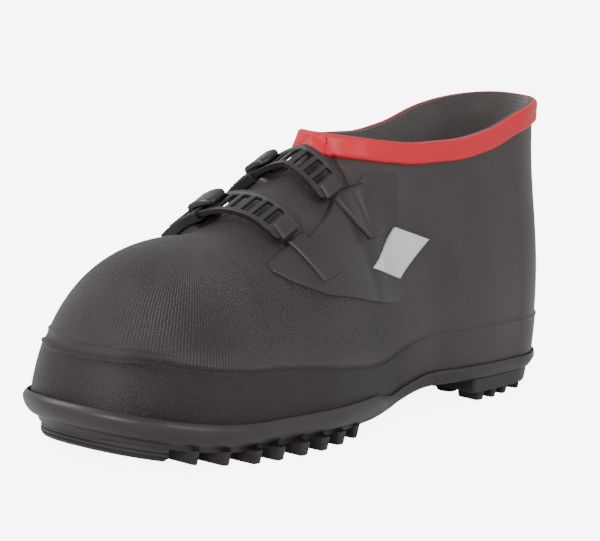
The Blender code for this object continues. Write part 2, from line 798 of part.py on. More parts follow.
def build_toe_lug(lines, low, high, finish):
    """The broad pad under the toe tip: the sole's outline drawn in, cut off behind by a flat V."""
    ring = lines.outline(-0.0055)
    near = ring[:, 0] > from_toe(0.0335)
    rear = [(from_toe(0.030), 0.030), (from_toe(0.040), 0.004), (from_toe(0.0285), -0.027)]
    start = int(np.argmin(near))
    order = np.roll(np.arange(lines.count), -start)
    front = [tuple(ring[i]) for i in order if near[i]]
    if front[0][1] > front[-1][1]:
        front.reverse()
    return prism("toe_lug", front + rear, low, high, finish, draft=0.0008)


def pockets(places, place, finish):
    """Cutters for the stud holes in the lugs."""
    hole = STUD_RADIUS + FIT_GAP
    made = []
    for i, (d, y) in enumerate(places):
        centre = (place(d * 0.001), -y * 0.001)
        profile = ((0, STUD_POCKET), (hole, STUD_POCKET), (hole, -0.002), (0, -0.002))
        made.append(lathe(f"pocket{i}", centre, profile, 12, finish))
    return made


def from_heel(distance):
    """A distance forward from the heel's hindmost point, as a place along X."""
    return distance - LENGTH / 2


def build_heel(lines, finish):
    """Heel block with its own tread: the rear of the sole's outline closed by a slanted step."""
    ring = lines.outline(-0.0012)
    cut = from_heel(HEEL_STEP[0] * 0.001)
    keep = ring[:, 0] < cut - 0.001
    back = [tuple(p) for p in ring[keep]]
    sides = sorted(back, key=lambda p: p[0])
    medial = max(p[1] for p in sides[-4:])
    lateral = min(p[1] for p in sides[-4:])
    front = [(from_heel(HEEL_STEP[0] * 0.001), lateral), (from_heel(HEEL_STEP[1] * 0.001), medial)]
    block = prism("heel", back + front, LUG_HEIGHT, HEEL_BLOCK_HEIGHT, finish, draft=-0.0008)
    low, high = 0.0, LUG_HEIGHT + 0.001
    pieces = [
        lug(f"heel_lug{i}", row[0], row[1:], from_heel, low, high, finish)
        for i, row in enumerate(HEEL_LUGS)
    ]
    pieces.append(chevron("heel_chevron", HEEL_CHEVRON, from_heel, low, high, finish))
    kidney = [(26.4, -9), (35.6, -8), (35.6, 16), (26.4, 17), (24.8, 4)]
    plan = [(from_heel(a * 0.001), b * 0.001) for a, b in kidney]
    pieces.append(prism("kidney", plan, low, high, finish, draft=0.0006))
    pieces.append(build_heel_pad(lines, low, high, finish))
    pieces += [
        boss(
            f"heel_boss{i}", (from_heel(d * 0.001), -y * 0.001), BOSS_SHY, high, STUD_POCKET, finish
        )
        for i, (d, y, _) in enumerate(HEEL_BOSSES)
    ]
    combine(block, pieces)
    return combine(block, pockets(HEEL_LUG_STUDS, from_heel, finish), "DIFFERENCE")


def build_heel_pad(lines, low, high, finish):
    """The pad round the back of the heel, its front edge a wave that dips round the kidney."""
    ring = lines.outline(-0.0040)
    keep = ring[:, 0] < from_heel(0.0285)
    back = [tuple(p) for p in ring[keep]]
    if back[0][1] < back[-1][1]:
        back.reverse()
    wave = [(26.5, -33), (31.5, -18.5), (22.0, -9.5), (20.5, 4), (22.5, 17.0), (35.0, 23.5)]
    front = [(from_heel(a * 0.001), b * 0.001) for a, b in wave]
    return prism("heel_pad", back + front, low, high, finish, draft=0.0006)


def build_insole(lines, finish):
    """A thin footbed that lies on the sole inside the wall."""
    inset = WALL + 0.0012
    ring = lines.outline(-inset)
    z = seat(lines.axis + lines.dx * lines.foot)
    low = np.column_stack([ring, z + 0.0004])
    high = np.column_stack([ring, z + 0.0004 + INSOLE_THICK])
    points, faces = closed_loops([low, high])
    faces += ladder_faces(0, lines.count) + ladder_faces(lines.count, lines.count)
    return outward(add_object("insole", points, faces, finish))


# Overlays, drawn on the wall as seen from the side: (x, z) along each long edge, x as a share of
# LENGTH and z as a share of INSTEP_HEIGHT.
SADDLE_HIGH = (
    (0.1965, 0.6051), (0.1792, 0.6256), (0.1329, 0.6667), (0.1026, 0.6857), (0.0341, 0.7714), (0.0197, 0.7985),
    (-0.0260, 0.8396), (-0.0434, 0.8681), (-0.0636, 0.8689), (-0.2139, 0.8689),
)
SADDLE_LOW = (
    (0.1936, 0.5861), (0.1734, 0.5560), (0.1526, 0.5363), (0.1188, 0.5070), (0.0847, 0.4938), (0.0549, 0.4799),
    (0.0173, 0.4615), (-0.0289, 0.4432), (-0.0925, 0.4286), (-0.1618, 0.4249),
)
FRONT_TAB = ((0.1416, 0.6681), (0.1208, 0.5407)), ((0.1127, 0.6894), (0.0812, 0.5714))
REAR_TAB = ((0.0237, 0.7927), (-0.0101, 0.6557)), ((-0.0312, 0.8403), (-0.0503, 0.6747))
REFLECTOR = ((-0.0789, 0.6835), (-0.0009, 0.5641)), ((-0.1451, 0.6318), (-0.0671, 0.5124))
OVERLAY_SMOOTHING = 1
PANEL_THICK = 0.0009
PANEL_OFF = 0.00045
TAB_OFF = 0.00225
TAB_THICK = 0.0016

# A strap: where it crosses the instep (share of LENGTH), how its width slopes forward (degrees),
# and the turn of its cap, its free end and its buckle about the instep's axis (degrees, medial is
# positive), and how far its free end stands off the wall.
STRAP_KEYS = ("x", "slope", "cap", "end", "buckle_from", "buckle_to", "end_off")
FRONT_STRAP = dict(zip(STRAP_KEYS, (0.1416, 24.0, 44.0, -46.0, -30.0, -62.0, 0.0060)))
REAR_STRAP = dict(zip(STRAP_KEYS, (0.0335, 24.0, 44.0, -46.0, -30.0, -62.0, 0.0056)))
ARCH_DEPTH = 0.032
STRAP_HALF = 0.0095
STRAP_THICK = 0.0022
STRAP_SLOTS = 6
RAIL = 0.0028
CAP_OFF = 0.0044
ARCH_OFF = 0.0054


def arch(tree, at, turns, off):
    """Points off the instep at the given turns, and the outward directions there."""
    x = at["x"] * LENGTH
    top = tree.ray_cast(Vector((x, 0.0001, 3 * INSTEP_HEIGHT)), Vector((0, 0, -1)))[0]
    axis = np.array([x, 0.0, top.z - ARCH_DEPTH])
    made = []
    for turn, away in zip(np.radians(turns), off):
        facing = np.array([0.0, math.sin(turn), math.cos(turn)])
        hit = tree.ray_cast(Vector(axis + facing * 2 * INSTEP_HEIGHT), Vector(-facing))[0]
        made.append(np.array(hit) + facing * away)
    return np.array(made)


def frame_along(path, slope):
    """The across and outward directions of a strip that follows the path."""
    s = math.radians(slope)
    across = np.tile((math.cos(s), 0.0, -math.sin(s)), (len(path), 1))
    tangent = np.gradient(path, axis=0)
    up = np.cross(across, tangent)
    up /= np.linalg.norm(up, axis=1, keepdims=True)
    up *= np.sign(up[:, 2:3].sum())
    return across, up


def strap_off(turn, at):
    """How far the strap stands off the instep at a turn: low at the cap, highest past the top."""
    t = (at["cap"] - np.asarray(turn, float)) / (at["cap"] - at["end"])
    return smooth((0, 0.12, 0.55, 1.0), (CAP_OFF, CAP_OFF + 0.0008, ARCH_OFF, at["end_off"]), t)


def build_ladder(name, tree, at, finish):
    """The slotted strap, with a solid rounded cap end and a solid tip."""
    share = [0.0, 0.03, 0.075, 0.14]
    cells = [True, True, True]
    pitch = (0.84 - share[-1]) / STRAP_SLOTS
    for i in range(STRAP_SLOTS):
        share += [share[3] + pitch * (i + 0.62), share[3] + pitch * (i + 1)]
        cells += [False, True]
    share.append(1.0)
    cells.append(True)
    share = np.array(share)
    turns = at["cap"] + (at["end"] - at["cap"]) * share
    path = arch(tree, at, turns, strap_off(turns, at))
    across, up = frame_along(path, at["slope"])
    half = STRAP_HALF * np.interp(share, (0, 0.03, 0.075, 0.97, 1), (0.55, 0.88, 1, 1, 0.86))
    thick = STRAP_THICK * np.interp(share, (0, 0.03, 0.12, 0.16, 1), (0.9, 1.5, 1.5, 1.0, 1.0))
    columns = np.stack([-half, -half + RAIL * half / STRAP_HALF,
                        half - RAIL * half / STRAP_HALF, half], axis=1)
    low = path[:, None] + across[:, None] * columns[..., None]
    high = low + up[:, None] * thick[:, None, None]
    count = len(share)
    points = np.concatenate([low.reshape(-1, 3), high.reshape(-1, 3)])
    size = count * 4
    solid = {(i, j) for i in range(count - 1) for j in range(3) if j != 1 or cells[i]}
    faces = []
    for i, j in solid:
        a, b, c, d = i * 4 + j, (i + 1) * 4 + j, (i + 1) * 4 + j + 1, i * 4 + j + 1
        faces += [(a, b, c, d), (size + d, size + c, size + b, size + a)]
        for (di, dj), (p, q) in (((0, -1), (a, b)), ((0, 1), (c, d)), ((-1, 0), (d, a)), ((1, 0), (b, c))):
            if (i + di, j + dj) not in solid:
                faces.append((q, p, size + p, size + q))
    return outward(add_object(name, points, faces, finish))


def swept(name, path, across, up, section, finish, hole=None):
    """A strip with a closed section of (across, up) offsets swept along the path; hole is a
    second section, cut through from end to end."""
    def rings(shape):
        return [
            np.array([p + a * u + b * v for u, v in shape])
            for p, a, b in zip(path, across, up)
        ]

    outer = rings(section)
    points, faces = closed_loops(outer)
    size, last = len(section), (len(path) - 1) * len(section)
    if hole is None:
        faces += [tuple(range(size)), tuple(range(last, last + size))]
    else:
        inner, more = closed_loops(rings(hole))
        start = len(points)
        points = np.concatenate([points, inner])
        faces += [tuple(start + i for i in face) for face in more]
        for base in (0, last):
            for i in range(size):
                j = (i + 1) % size
                faces.append((base + i, base + j, start + base + j, start + base + i))
    return outward(add_object(name, points, faces, finish))


def build_strap(name, tree, at, finish):
    """One fastening: slotted strap, buckle sleeve on the lateral side and lever on top of it."""
    build_ladder(f"ladder_{name}", tree, at, finish)
    turns = np.linspace(at["buckle_from"], at["buckle_to"], 7)
    run = strap_off(np.maximum(turns, at["end"]), at)
    path = arch(tree, at, turns, run)
    across, up = frame_along(path, at["slope"])
    wide, clear = STRAP_HALF + 0.0018, STRAP_HALF + 0.0006
    low, high = -0.0016, STRAP_THICK + 0.0016
    section = ((-wide, low), (wide, low), (wide, high), (-wide, high))
    hole = (
        (-clear, low + 0.0011), (clear, low + 0.0011), (clear, high - 0.0011),
        (-clear, high - 0.0011),
    )
    swept(f"buckle_{name}", path, across, up, section, finish, hole)
    turns = np.linspace(at["buckle_from"] + 11, at["buckle_to"] + 18, 7)
    run = strap_off(np.maximum(turns, at["end"]), at)
    path = arch(tree, at, turns, run + high + 0.0005)
    across, up = frame_along(path, at["slope"])
    half = STRAP_HALF * 0.66
    section = ((-half, 0.0), (half, 0.0), (half * 0.9, 0.0026), (-half * 0.9, 0.0026))
    swept(f"lever_{name}", path, across, up, section, finish)


def split(edge, count, first=0.0):
    """Points evenly spaced on a straight edge, from the share first to its end."""
    (x0, z0), (x1, z1) = edge
    return [(x0 + t * (x1 - x0), z0 + t * (z1 - z0)) for t in np.linspace(first, 1, count)]


def build_overlays(lines, tree, rubber, reflective):
    """Saddle panels, strap tabs and reflective patches, on both sides of the instep. The panels
    have one column for each line of the wall, so that they lie against it without a gap."""
    for side, sign in (("medial", 1), ("lateral", -1)):
        def edge(table):
            return [(x * LENGTH, z * INSTEP_HEIGHT) for x, z in table]

        low, high = edge(SADDLE_LOW), edge(SADDLE_HIGH)
        back, front = max(low[-1][0], high[-1][0]), min(low[0][0], high[0][0])
        own = np.unique(np.round(lines.axis[(lines.axis > back) & (lines.axis < front)], 6))
        stations = [back, *(x for x in own if back + 0.001 < x < front - 0.001), front]
        overlay(
            f"saddle_{side}", tree, sign, spread(low, stations), spread(high, stations), 7,
            PANEL_OFF, PANEL_THICK, rubber,
        )
        for name, (low, high) in (("front", FRONT_TAB), ("rear", REAR_TAB)):
            first = 0.0 if sign > 0 else 0.5
            low, high = split(edge(low), 6, first), split(edge(high), 6, first)
            overlay(f"tab_{name}_{side}", tree, sign, low, high, 5, TAB_OFF, TAB_THICK, rubber)
        low, high = (split(edge(e), 6) for e in REFLECTOR)
        overlay(f"reflector_{side}", tree, sign, low, high, 6, TAB_OFF, 0.0008, reflective)


def main():
    clear_scene()
    rubber = material("black_rubber", (0.035, 0.033, 0.034), 0.55)
    tread = material("tread_rubber", (0.035, 0.031, 0.030), 0.60)
    red = material("red_binding", (0.55, 0.03, 0.04), 0.55)
    steel = material("stud_steel", (0.62, 0.62, 0.60), 0.30, 1.0)
    lining = material("footbed_felt", (0.05, 0.05, 0.05), 0.90)
    plastic = material("strap_plastic", (0.012, 0.012, 0.013), 0.35)
    reflective = material("reflective_patch", (0.46, 0.46, 0.47), 0.40)
    lines = Lines(10, 26, 8)
    wall = build_upper(lines, rubber)
    build_outsole(lines, tread)
    build_heel(lines, tread)
    build_insole(lines, lining)
    build_binding(lines, wall, red)
    build_overlays(lines, tree_of(wall), rubber, reflective)
    for name, at in (("front", FRONT_STRAP), ("rear", REAR_STRAP)):
        build_strap(name, tree_of(wall), at, plastic)
    number = 0
    for table, place in ((BOSSES, from_toe), (HEEL_BOSSES, from_heel)):
        for d, y, shod in table:
            if shod:
                number += 1
                x = place(d * 0.001)
                lift = float(spring(x)) if place is from_toe else 0.0
                top = lift + BOSS_SHY + STUD_POCKET - FIT_GAP
                stud(f"stud_{number}", (x, -y * 0.001), lift + STUD_TIP, top, steel)
    for table, place in ((LUG_STUDS, from_toe), (HEEL_LUG_STUDS, from_heel)):
        for d, y in table:
            number += 1
            stud(
                f"stud_{number}", (place(d * 0.001), -y * 0.001), STUD_TIP,
                STUD_POCKET - FIT_GAP, steel,
            )


main()
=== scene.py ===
"""Looks of a winter overshoe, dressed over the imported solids, piece by piece as it is made.

The shell's section curves, and the tables of its sole and overlays, are those of the part: each
line from the feather edge to the rim is a cubic with four handles, and sections between the rows
of the table are read from smooth curves through them. Overlays and straps lie on the wall by rays
cast at it.
"""

import math

import bmesh
import bpy
import numpy as np
from mathutils import Matrix, Vector
from mathutils.bvhtree import BVHTree


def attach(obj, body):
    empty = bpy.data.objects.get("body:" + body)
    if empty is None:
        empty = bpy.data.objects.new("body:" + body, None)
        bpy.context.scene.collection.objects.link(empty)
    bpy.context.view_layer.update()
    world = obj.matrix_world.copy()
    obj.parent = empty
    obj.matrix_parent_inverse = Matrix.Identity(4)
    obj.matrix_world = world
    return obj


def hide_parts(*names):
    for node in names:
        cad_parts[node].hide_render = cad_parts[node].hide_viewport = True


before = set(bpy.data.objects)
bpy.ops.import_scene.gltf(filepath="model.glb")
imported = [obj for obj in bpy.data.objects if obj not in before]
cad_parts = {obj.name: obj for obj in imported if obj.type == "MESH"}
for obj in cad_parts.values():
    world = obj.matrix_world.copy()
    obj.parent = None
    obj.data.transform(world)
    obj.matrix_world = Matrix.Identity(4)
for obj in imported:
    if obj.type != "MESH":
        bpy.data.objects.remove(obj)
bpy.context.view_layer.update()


# Camera, floor and light.
# The camera stands where the photograph's did, in front of the inner side of the shoe and a
# little above it, rolled as it was, and frames the one shoe.

CAMERA_PLACE = (1.0557, 0.7869, 0.2884)
CAMERA_AIM = (0.002, 0.0, 0.070)
CAMERA_ROLL = 4.0
CAMERA_LENS = 166.0

# How bright the floor and the background look to the camera, and how much light they cast.
FLOOR_SEEN, FLOOR_CAST = 6.5, 0.1
WORLD_SEEN, WORLD_CAST = 7.1, 1.0
FLOOR_HALF = 6
FLOOR_LEVEL = -0.0001


def aim_camera(place, target, roll, lens):
    """A camera at place looking at target, turned about its own line of sight by roll degrees."""
    data = bpy.data.cameras.new("view")
    data.sensor_fit = "HORIZONTAL"
    data.sensor_width = 36
    data.lens = lens
    data.clip_start, data.clip_end = 0.05, 30
    camera = bpy.data.objects.new("view", data)
    bpy.context.collection.objects.link(camera)
    line = (Vector(target) - Vector(place)).to_track_quat("-Z", "Y").to_matrix().to_4x4()
    camera.matrix_world = (
        Matrix.Translation(place) @ line @ Matrix.Rotation(math.radians(roll), 4, "Z")
    )
    bpy.context.scene.camera = camera


def soft_light(name, place, target, size, power):
    """A square area light that faces its target."""
    data = bpy.data.lights.new(name, "AREA")
    data.energy, data.size = power, size
    lamp = bpy.data.objects.new(name, data)
    bpy.context.collection.objects.link(lamp)
    lamp.location = place
    lamp.rotation_euler = (Vector(target) - Vector(place)).to_track_quat("-Z", "Y").to_euler()


aim_camera(CAMERA_PLACE, CAMERA_AIM, CAMERA_ROLL, CAMERA_LENS)

floor_mesh = bpy.data.meshes.new("floor")
floor_turns = ((-1, -1), (1, -1), (1, 1), (-1, 1))
floor_corners = [(x * FLOOR_HALF, y * FLOOR_HALF, FLOOR_LEVEL) for x, y in floor_turns]
floor_mesh.from_pydata(floor_corners, [], [(0, 1, 2, 3)])
floor = bpy.data.objects.new("floor", floor_mesh)
bpy.context.collection.objects.link(floor)
floor_paint = bpy.data.materials.new("pale_floor")
floor_paint.use_nodes = True
paint = floor_paint.node_tree.nodes["Principled BSDF"]
paint.inputs["Base Color"].default_value = (0.70, 0.70, 0.70, 1)
paint.inputs["Roughness"].default_value = 0.9
paint.inputs["Emission Color"].default_value = (1, 1, 1, 1)


def lit_for_camera(tree, socket, seen, cast):
    """Sets a strength that differs for the camera's own rays: the paper white that is seen, and
    the softer light that it casts."""
    path = tree.nodes.new("ShaderNodeLightPath")
    mix = tree.nodes.new("ShaderNodeMath")
    mix.operation = "MULTIPLY_ADD"
    tree.links.new(path.outputs["Is Camera Ray"], mix.inputs[0])
    mix.inputs[1].default_value, mix.inputs[2].default_value = seen - cast, cast
    tree.links.new(mix.outputs[0], socket)


lit_for_camera(floor_paint.node_tree, paint.inputs["Emission Strength"], FLOOR_SEEN, FLOOR_CAST)
floor_mesh.materials.append(floor_paint)

world = bpy.data.worlds.new("studio")
bpy.context.scene.world = world
world.use_nodes = True
sky = world.node_tree.nodes["Background"].inputs
sky["Color"].default_value = (1, 1, 1, 1)
lit_for_camera(world.node_tree, sky["Strength"], WORLD_SEEN, WORLD_CAST)
soft_light("high", (0.9, -1.2, 1.3), (0.08, 0, 0.06), 0.8, 30)
soft_light("side", (0.1, 1.8, 1.0), (0.02, 0, 0.05), 0.9, 18)
soft_light("front", (1.6, 0.5, 0.60), (0.1, 0, 0.05), 0.5, 22)


# Shell.
# One moulded rubber wall over a knit lining, open at the collar and along the foot. The forefoot
# carries fine upright ribs, and crossed threads below the foxing line. The heel is smooth.

# Driving sizes of the shell.
LENGTH = 0.346
BALL_HALF = 0.0600
INSTEP_HEIGHT = 0.1365
DOME_HEIGHT = 0.0938
COLLAR_BACK_HEIGHT = 0.1495
COLLAR_HALF = 0.0330
WALL = 0.0026
FIT_GAP = 0.0003

# Driving sizes of the sole.
LUG_HEIGHT = 0.0055
FLANGE_REACH = 0.0050
TOE_SPRING = 0.0090
TOE_SPRING_LENGTH = 0.075
TOE_SPRING_POWER = 1.8
HEEL_BLOCK_HEIGHT = 0.0130
PLATE_THICK = 0.0065

# Height of the foxing line above the feather edge, at places along X.
FOXING_STATIONS = (-0.173, -0.060, 0.007, 0.090, 0.150, 0.173)
FOXING_HEIGHTS = (0.0210, 0.0200, 0.0210, 0.0285, 0.0300, 0.0240)

# Where the lines fan out, as shares of the length from the heel.
HEEL_CENTRE = 0.136
TOE_CENTRE = 0.755
THROAT = 0.484
THROAT_ROUND = 0.035

# How the lines crowd round the throat: share of the lines from the toe centre, and station there.
SIDE_LINES = (
    (0, TOE_CENTRE), (10 / 26, 0.505), (12 / 26, THROAT), (15 / 26, THROAT - 0.018),
    (18 / 26, THROAT - 0.055), (1, HEEL_CENTRE),
)

# How round the two ends are in plan: 2 is an ellipse, more is squarer.
TOE_ROUNDNESS = {1: 2.25, -1: 1.98}
HEEL_ROUNDNESS = 2.15

# How far in the feather edge and the collar stand from the heel's hindmost point, and how much
# higher the rim stands on each side than the table's height.
HEEL_INSET = 0.0040
COLLAR_INSET = 0.0024
RIM_LEAN = {1: 0.0022, -1: -0.0032}

# How the toe and heel walls curve and lean (millimetres at the handle), and the heights of the
# two middle handles: the lower one above the feather edge and the upper one below the rim, as
# shares of the wall's height.
TOE_CROWN = 0.74
TOE_LEAN = -2.5
HEEL_LEAN = 4.0
WALL_RISE = 0.50
COLLAR_DROP = 0.38

# Distances back from the toe over which the waist arches up and the bumper flange fades out.
WAIST_ARCH = (0.235, 0.172)
FLANGE_FADE = (0.196, 0.160)

# One row for each section from the heel centre to the toe centre.
SECTION_COLUMNS = ("station", "medial", "lateral", "top", "opening", "crown", "bulge")
# station: share of the length; medial, lateral: half-breadths as shares of BALL_HALF;
# top: ridge or rim height as a share of INSTEP_HEIGHT; opening: half-opening of the collar as a
# share of COLLAR_HALF (ahead of the throat, where the collar is shut, it only steers the
# section); crown: how flat the top of the section is; bulge: in millimetres, how far
# the wall's handle leans outward.
SECTIONS = (
    (HEEL_CENTRE, 0.760, 0.755, 1.040, 1.00, 0.10, 3.0),
    (0.206, 0.775, 0.775, 0.992, 1.02, 0.12, 3.5),
    (0.288, 0.745, 0.800, 0.968, 0.96, 0.14, 4.5),
    (0.358, 0.690, 0.830, 0.968, 0.85, 0.17, 6.0),
    (0.415, 0.710, 0.870, 0.980, 0.68, 0.20, 6.5),
    (THROAT, 0.820, 0.940, 1.000, 0.40, 0.26, 6.0),
    (0.503, 0.862, 0.960, 0.925, 0.30, 0.28, 5.5),
    (0.530, 0.910, 0.985, 0.884, 0.20, 0.34, 5.0),
    (0.585, 0.970, 1.010, 0.815, 0.06, 0.45, 4.0),
    (0.640, 1.000, 1.010, 0.733, 0.00, 0.52, 3.0),
    (0.700, 0.990, 0.985, 0.690, 0.00, 0.58, 2.0),
    (TOE_CENTRE, 0.970, 0.945, 0.680, 0.00, 0.64, 1.0),
)


def column(name):
    """One column of the section table as an array."""
    place = SECTION_COLUMNS.index(name)
    return np.array([row[place] for row in SECTIONS])


def smooth(stations, values, at):
    """A curve through (stations, values) with no overshoot: a cubic between points, its slopes
    the harmonic mean of the slopes on each side."""
    stations, values = np.asarray(stations, float), np.asarray(values, float)
    step = np.diff(stations)
    slope = np.diff(values) / step
    left, right = slope[:-1], slope[1:]
    same = left * right > 0
    mean = np.where(same, 2 * left * right / np.where(same, left + right, 1.0), 0.0)
    tangent = np.concatenate([[slope[0]], mean, [slope[-1]]])
    at = np.clip(at, stations[0], stations[-1])
    i = np.clip(np.searchsorted(stations, at) - 1, 0, len(step) - 1)
    t = (at - stations[i]) / step[i]
    return (
        (2 * t**3 - 3 * t**2 + 1) * values[i]
        + (t**3 - 2 * t**2 + t) * step[i] * tangent[i]
        + (3 * t**2 - 2 * t**3) * values[i + 1]
        + (t**3 - t**2) * step[i] * tangent[i + 1]
    )


def ease(low, high, x):
    """0 below low, 1 above high, and a smooth S between them."""
    t = np.clip((x - low) / (high - low), 0, 1)
    return t * t * (3 - 2 * t)


def station_x(share):
    """A share of the length from the heel, as a place along X."""
    return (share - 0.5) * LENGTH


def from_toe(distance):
    """A distance back from the toe tip, as a place along X."""
    return LENGTH / 2 - distance


def from_toe_over(ends, x):
    """0 behind and 1 ahead of a stretch given by its two distances back from the toe."""
    return ease(from_toe(ends[0]), from_toe(ends[1]), x)


def spring(x):
    """How far the underside has lifted off the floor towards the toe."""
    start = LENGTH / 2 - TOE_SPRING_LENGTH
    t = np.clip((np.asarray(x, float) - start) / TOE_SPRING_LENGTH, 0, 1.1)
    return TOE_SPRING * t**TOE_SPRING_POWER


def underside(x):
    """Height of the sole plate's lower face: the lug field in front, then the arched waist,
    which meets the top of the heel block."""
    field = LUG_HEIGHT + spring(x)
    rear = HEEL_BLOCK_HEIGHT + FIT_GAP
    return field + (rear - LUG_HEIGHT) * (1 - from_toe_over(WAIST_ARCH, x))


def seat(x):
    """Height of the sole plate's upper face, on which the upper and the insole stand."""
    return underside(x) + PLATE_THICK


def foxing_height(x):
    """How far the foxing's top line runs above the feather edge, lower behind the ball."""
    return smooth(FOXING_STATIONS, FOXING_HEIGHTS, x)


def flange_share(x):
    """1 where the bumper flange runs round the forefoot, 0 at waist and heel."""
    return from_toe_over(FLANGE_FADE, x)


class Lines:
    """The section curves of the shell, as arrays with one entry for each line, in a closed loop
    from the toe tip along the medial side to the heel and back along the lateral side."""

    def __init__(self, toe, side, heel):
        medial = self.half(1, toe, side, heel)
        lateral = self.half(-1, toe, side, heel)
        for name in medial:
            both = np.concatenate([medial[name], lateral[name][-2:0:-1]])
            setattr(self, name, both)
        self.count = len(self.axis)

    @staticmethod
    def half(sign, toe, side, heel):
        """The lines of one side. Fan lines turn about the toe and heel centres."""
        breadth = BALL_HALF * column("medial" if sign > 0 else "lateral")
        stations = column("station")
        toe_turn = np.linspace(0, math.pi / 2, toe + 1)
        along = np.interp(np.linspace(0, 1, side + 1)[1:], *zip(*SIDE_LINES))
        heel_turn = np.linspace(math.pi / 2, 0, heel + 1)[1:]
        fan_toe, fan_heel = np.sin(toe_turn) ** 2, np.sin(heel_turn) ** 2

        def row(name):
            """A column of the table along the side."""
            return smooth(stations, column(name), along)

        soft = smooth(stations, column("opening"), along) * COLLAR_HALF
        back = np.clip((THROAT - along) / THROAT_ROUND, 0, 1)
        opening = soft * np.sqrt(back * (2 - back))

        def rounded(turn, forward, sideways, power):
            """The radius of a rounded end: a superellipse."""
            ahead, aside = np.cos(turn) / forward, np.sin(turn) / sideways
            return (ahead**power + aside**power) ** (-1 / power)

        toe_reach = LENGTH / 2 - FLANGE_REACH - station_x(TOE_CENTRE)
        heel_reach = LENGTH / 2 + station_x(HEEL_CENTRE) - HEEL_INSET
        centre = {name: column(name)[0] for name in SECTION_COLUMNS}
        front = {name: column(name)[-1] for name in SECTION_COLUMNS}
        r_toe = rounded(toe_turn, toe_reach, breadth[-1], TOE_ROUNDNESS[sign])
        r_heel = rounded(heel_turn, heel_reach, breadth[0], HEEL_ROUNDNESS)
        rim_side = centre["opening"] * COLLAR_HALF
        rim_back = LENGTH / 2 + station_x(HEEL_CENTRE) - COLLAR_INSET
        r_rim = rounded(heel_turn, rim_back, rim_side, 2.0)
        lean = RIM_LEAN[sign] * ease(0.0, 0.9, (THROAT - along) / (THROAT - HEEL_CENTRE))
        top_side = centre["top"] * INSTEP_HEIGHT + RIM_LEAN[sign]
        next_top = column("top")[1] * INSTEP_HEIGHT + RIM_LEAN[sign]
        climb = (top_side - next_top) / ((stations[1] - stations[0]) * LENGTH)
        back_by = np.cos(heel_turn) * r_rim
        rise = COLLAR_BACK_HEIGHT - top_side - climb * rim_back
        return {
            "axis": np.concatenate(
                [
                    np.full(toe + 1, station_x(TOE_CENTRE)),
                    station_x(along),
                    np.full(heel, station_x(HEEL_CENTRE)),
                ]
            ),
            "dx": np.concatenate([np.cos(toe_turn), np.zeros(side), -np.cos(heel_turn)]),
            "dy": sign * np.concatenate([np.sin(toe_turn), np.ones(side), np.sin(heel_turn)]),
            "foot": np.concatenate([r_toe, smooth(stations, breadth, along), r_heel]),
            "rim": np.concatenate([np.zeros(toe + 1), opening, r_rim]),
            "soft": np.concatenate([np.zeros(toe + 1), soft, r_rim]),
            "top": np.concatenate(
                [
                    np.full(toe + 1, DOME_HEIGHT),
                    row("top") * INSTEP_HEIGHT + lean,
                    top_side + climb * back_by + rise * (back_by / rim_back) ** 2,
                ]
            ),
            "crown": np.concatenate(
                [
                    TOE_CROWN + (front["crown"] - TOE_CROWN) * fan_toe,
                    row("crown"),
                    np.full(heel, centre["crown"]),
                ]
            ),
            "bulge": 0.001
            * np.concatenate(
                [
                    TOE_LEAN + (front["bulge"] - TOE_LEAN) * fan_toe,
                    row("bulge"),
                    HEEL_LEAN + (centre["bulge"] - HEEL_LEAN) * fan_heel,
                ]
            ),
        }

    def base(self):
        """Height of each line's lower end."""
        return seat(self.axis + self.dx * self.foot) + FIT_GAP

    def profile(self, v):
        """Radius and height of every line at the shares v, as arrays (line, share)."""
        v = np.asarray(v, float)
        if v.ndim == 1:
            v = np.broadcast_to(v, (self.count, len(v)))
        low = self.base()[:, None]
        tall = self.top[:, None] - low
        open_share = ease(0.0, 0.75, self.soft / COLLAR_HALF)[:, None]
        r = [
            self.foot[:, None],
            (self.foot + self.bulge)[:, None],
            (self.soft + self.crown * (self.foot - self.soft))[:, None],
            self.rim[:, None],
        ]
        z = [
            low,
            low + WALL_RISE * tall,
            self.top[:, None] - COLLAR_DROP * open_share * tall,
            self.top[:, None],
        ]
        weights = [(1 - v) ** 3, 3 * v * (1 - v) ** 2, 3 * v**2 * (1 - v), v**3]
        return (
            sum(w * part for w, part in zip(weights, r)),
            sum(w * part for w, part in zip(weights, z)),
        )

    def points(self, v):
        """Points of the shell's outer face at the shares v, as an array (line, share, 3)."""
        r, z = self.profile(v)
        x = self.axis[:, None] + self.dx[:, None] * r
        return np.stack([x, self.dy[:, None] * r, z], axis=-1)

    def share_at(self, height):
        """The share of each line at which it reaches a height."""
        tries = np.linspace(0, 1, 201)
        _, z = self.profile(tries)
        return np.array([np.interp(h, row, tries) for h, row in zip(height, z)])

    def outline(self, reach):
        """Plan points of the feather edge, moved outward by reach."""
        r = self.foot + reach
        return np.stack([self.axis + self.dx * r, self.dy * r], axis=-1)


def grid_faces(rows, columns, closed):
    """Faces of a grid of rows by columns, its rows joined in a loop when closed, as (n, 4)."""
    i = np.arange(rows if closed else rows - 1)[:, None]
    j = np.arange(columns - 1)[None]
    a, b = i * columns + j, ((i + 1) % rows) * columns + j
    return np.stack([a, b, b + 1, a + 1], axis=-1).reshape(-1, 4)


def wall_normals(grid):
    """Unit normals of a grid closed along its rows: the cross product of its two slopes."""
    along = np.roll(grid, -1, axis=0) - np.roll(grid, 1, axis=0)
    n = np.cross(along, np.gradient(grid, axis=1))
    length = np.linalg.norm(n, axis=-1, keepdims=True)
    n = np.where(length < 1e-13, (0.0, 0.0, 1.0), n / np.maximum(length, 1e-13))
    centre = np.array([0.0, 0.0, DOME_HEIGHT / 2])
    return n * np.sign(np.sum(n[:, 1:-1] * (grid[:, 1:-1] - centre), axis=-1).mean())


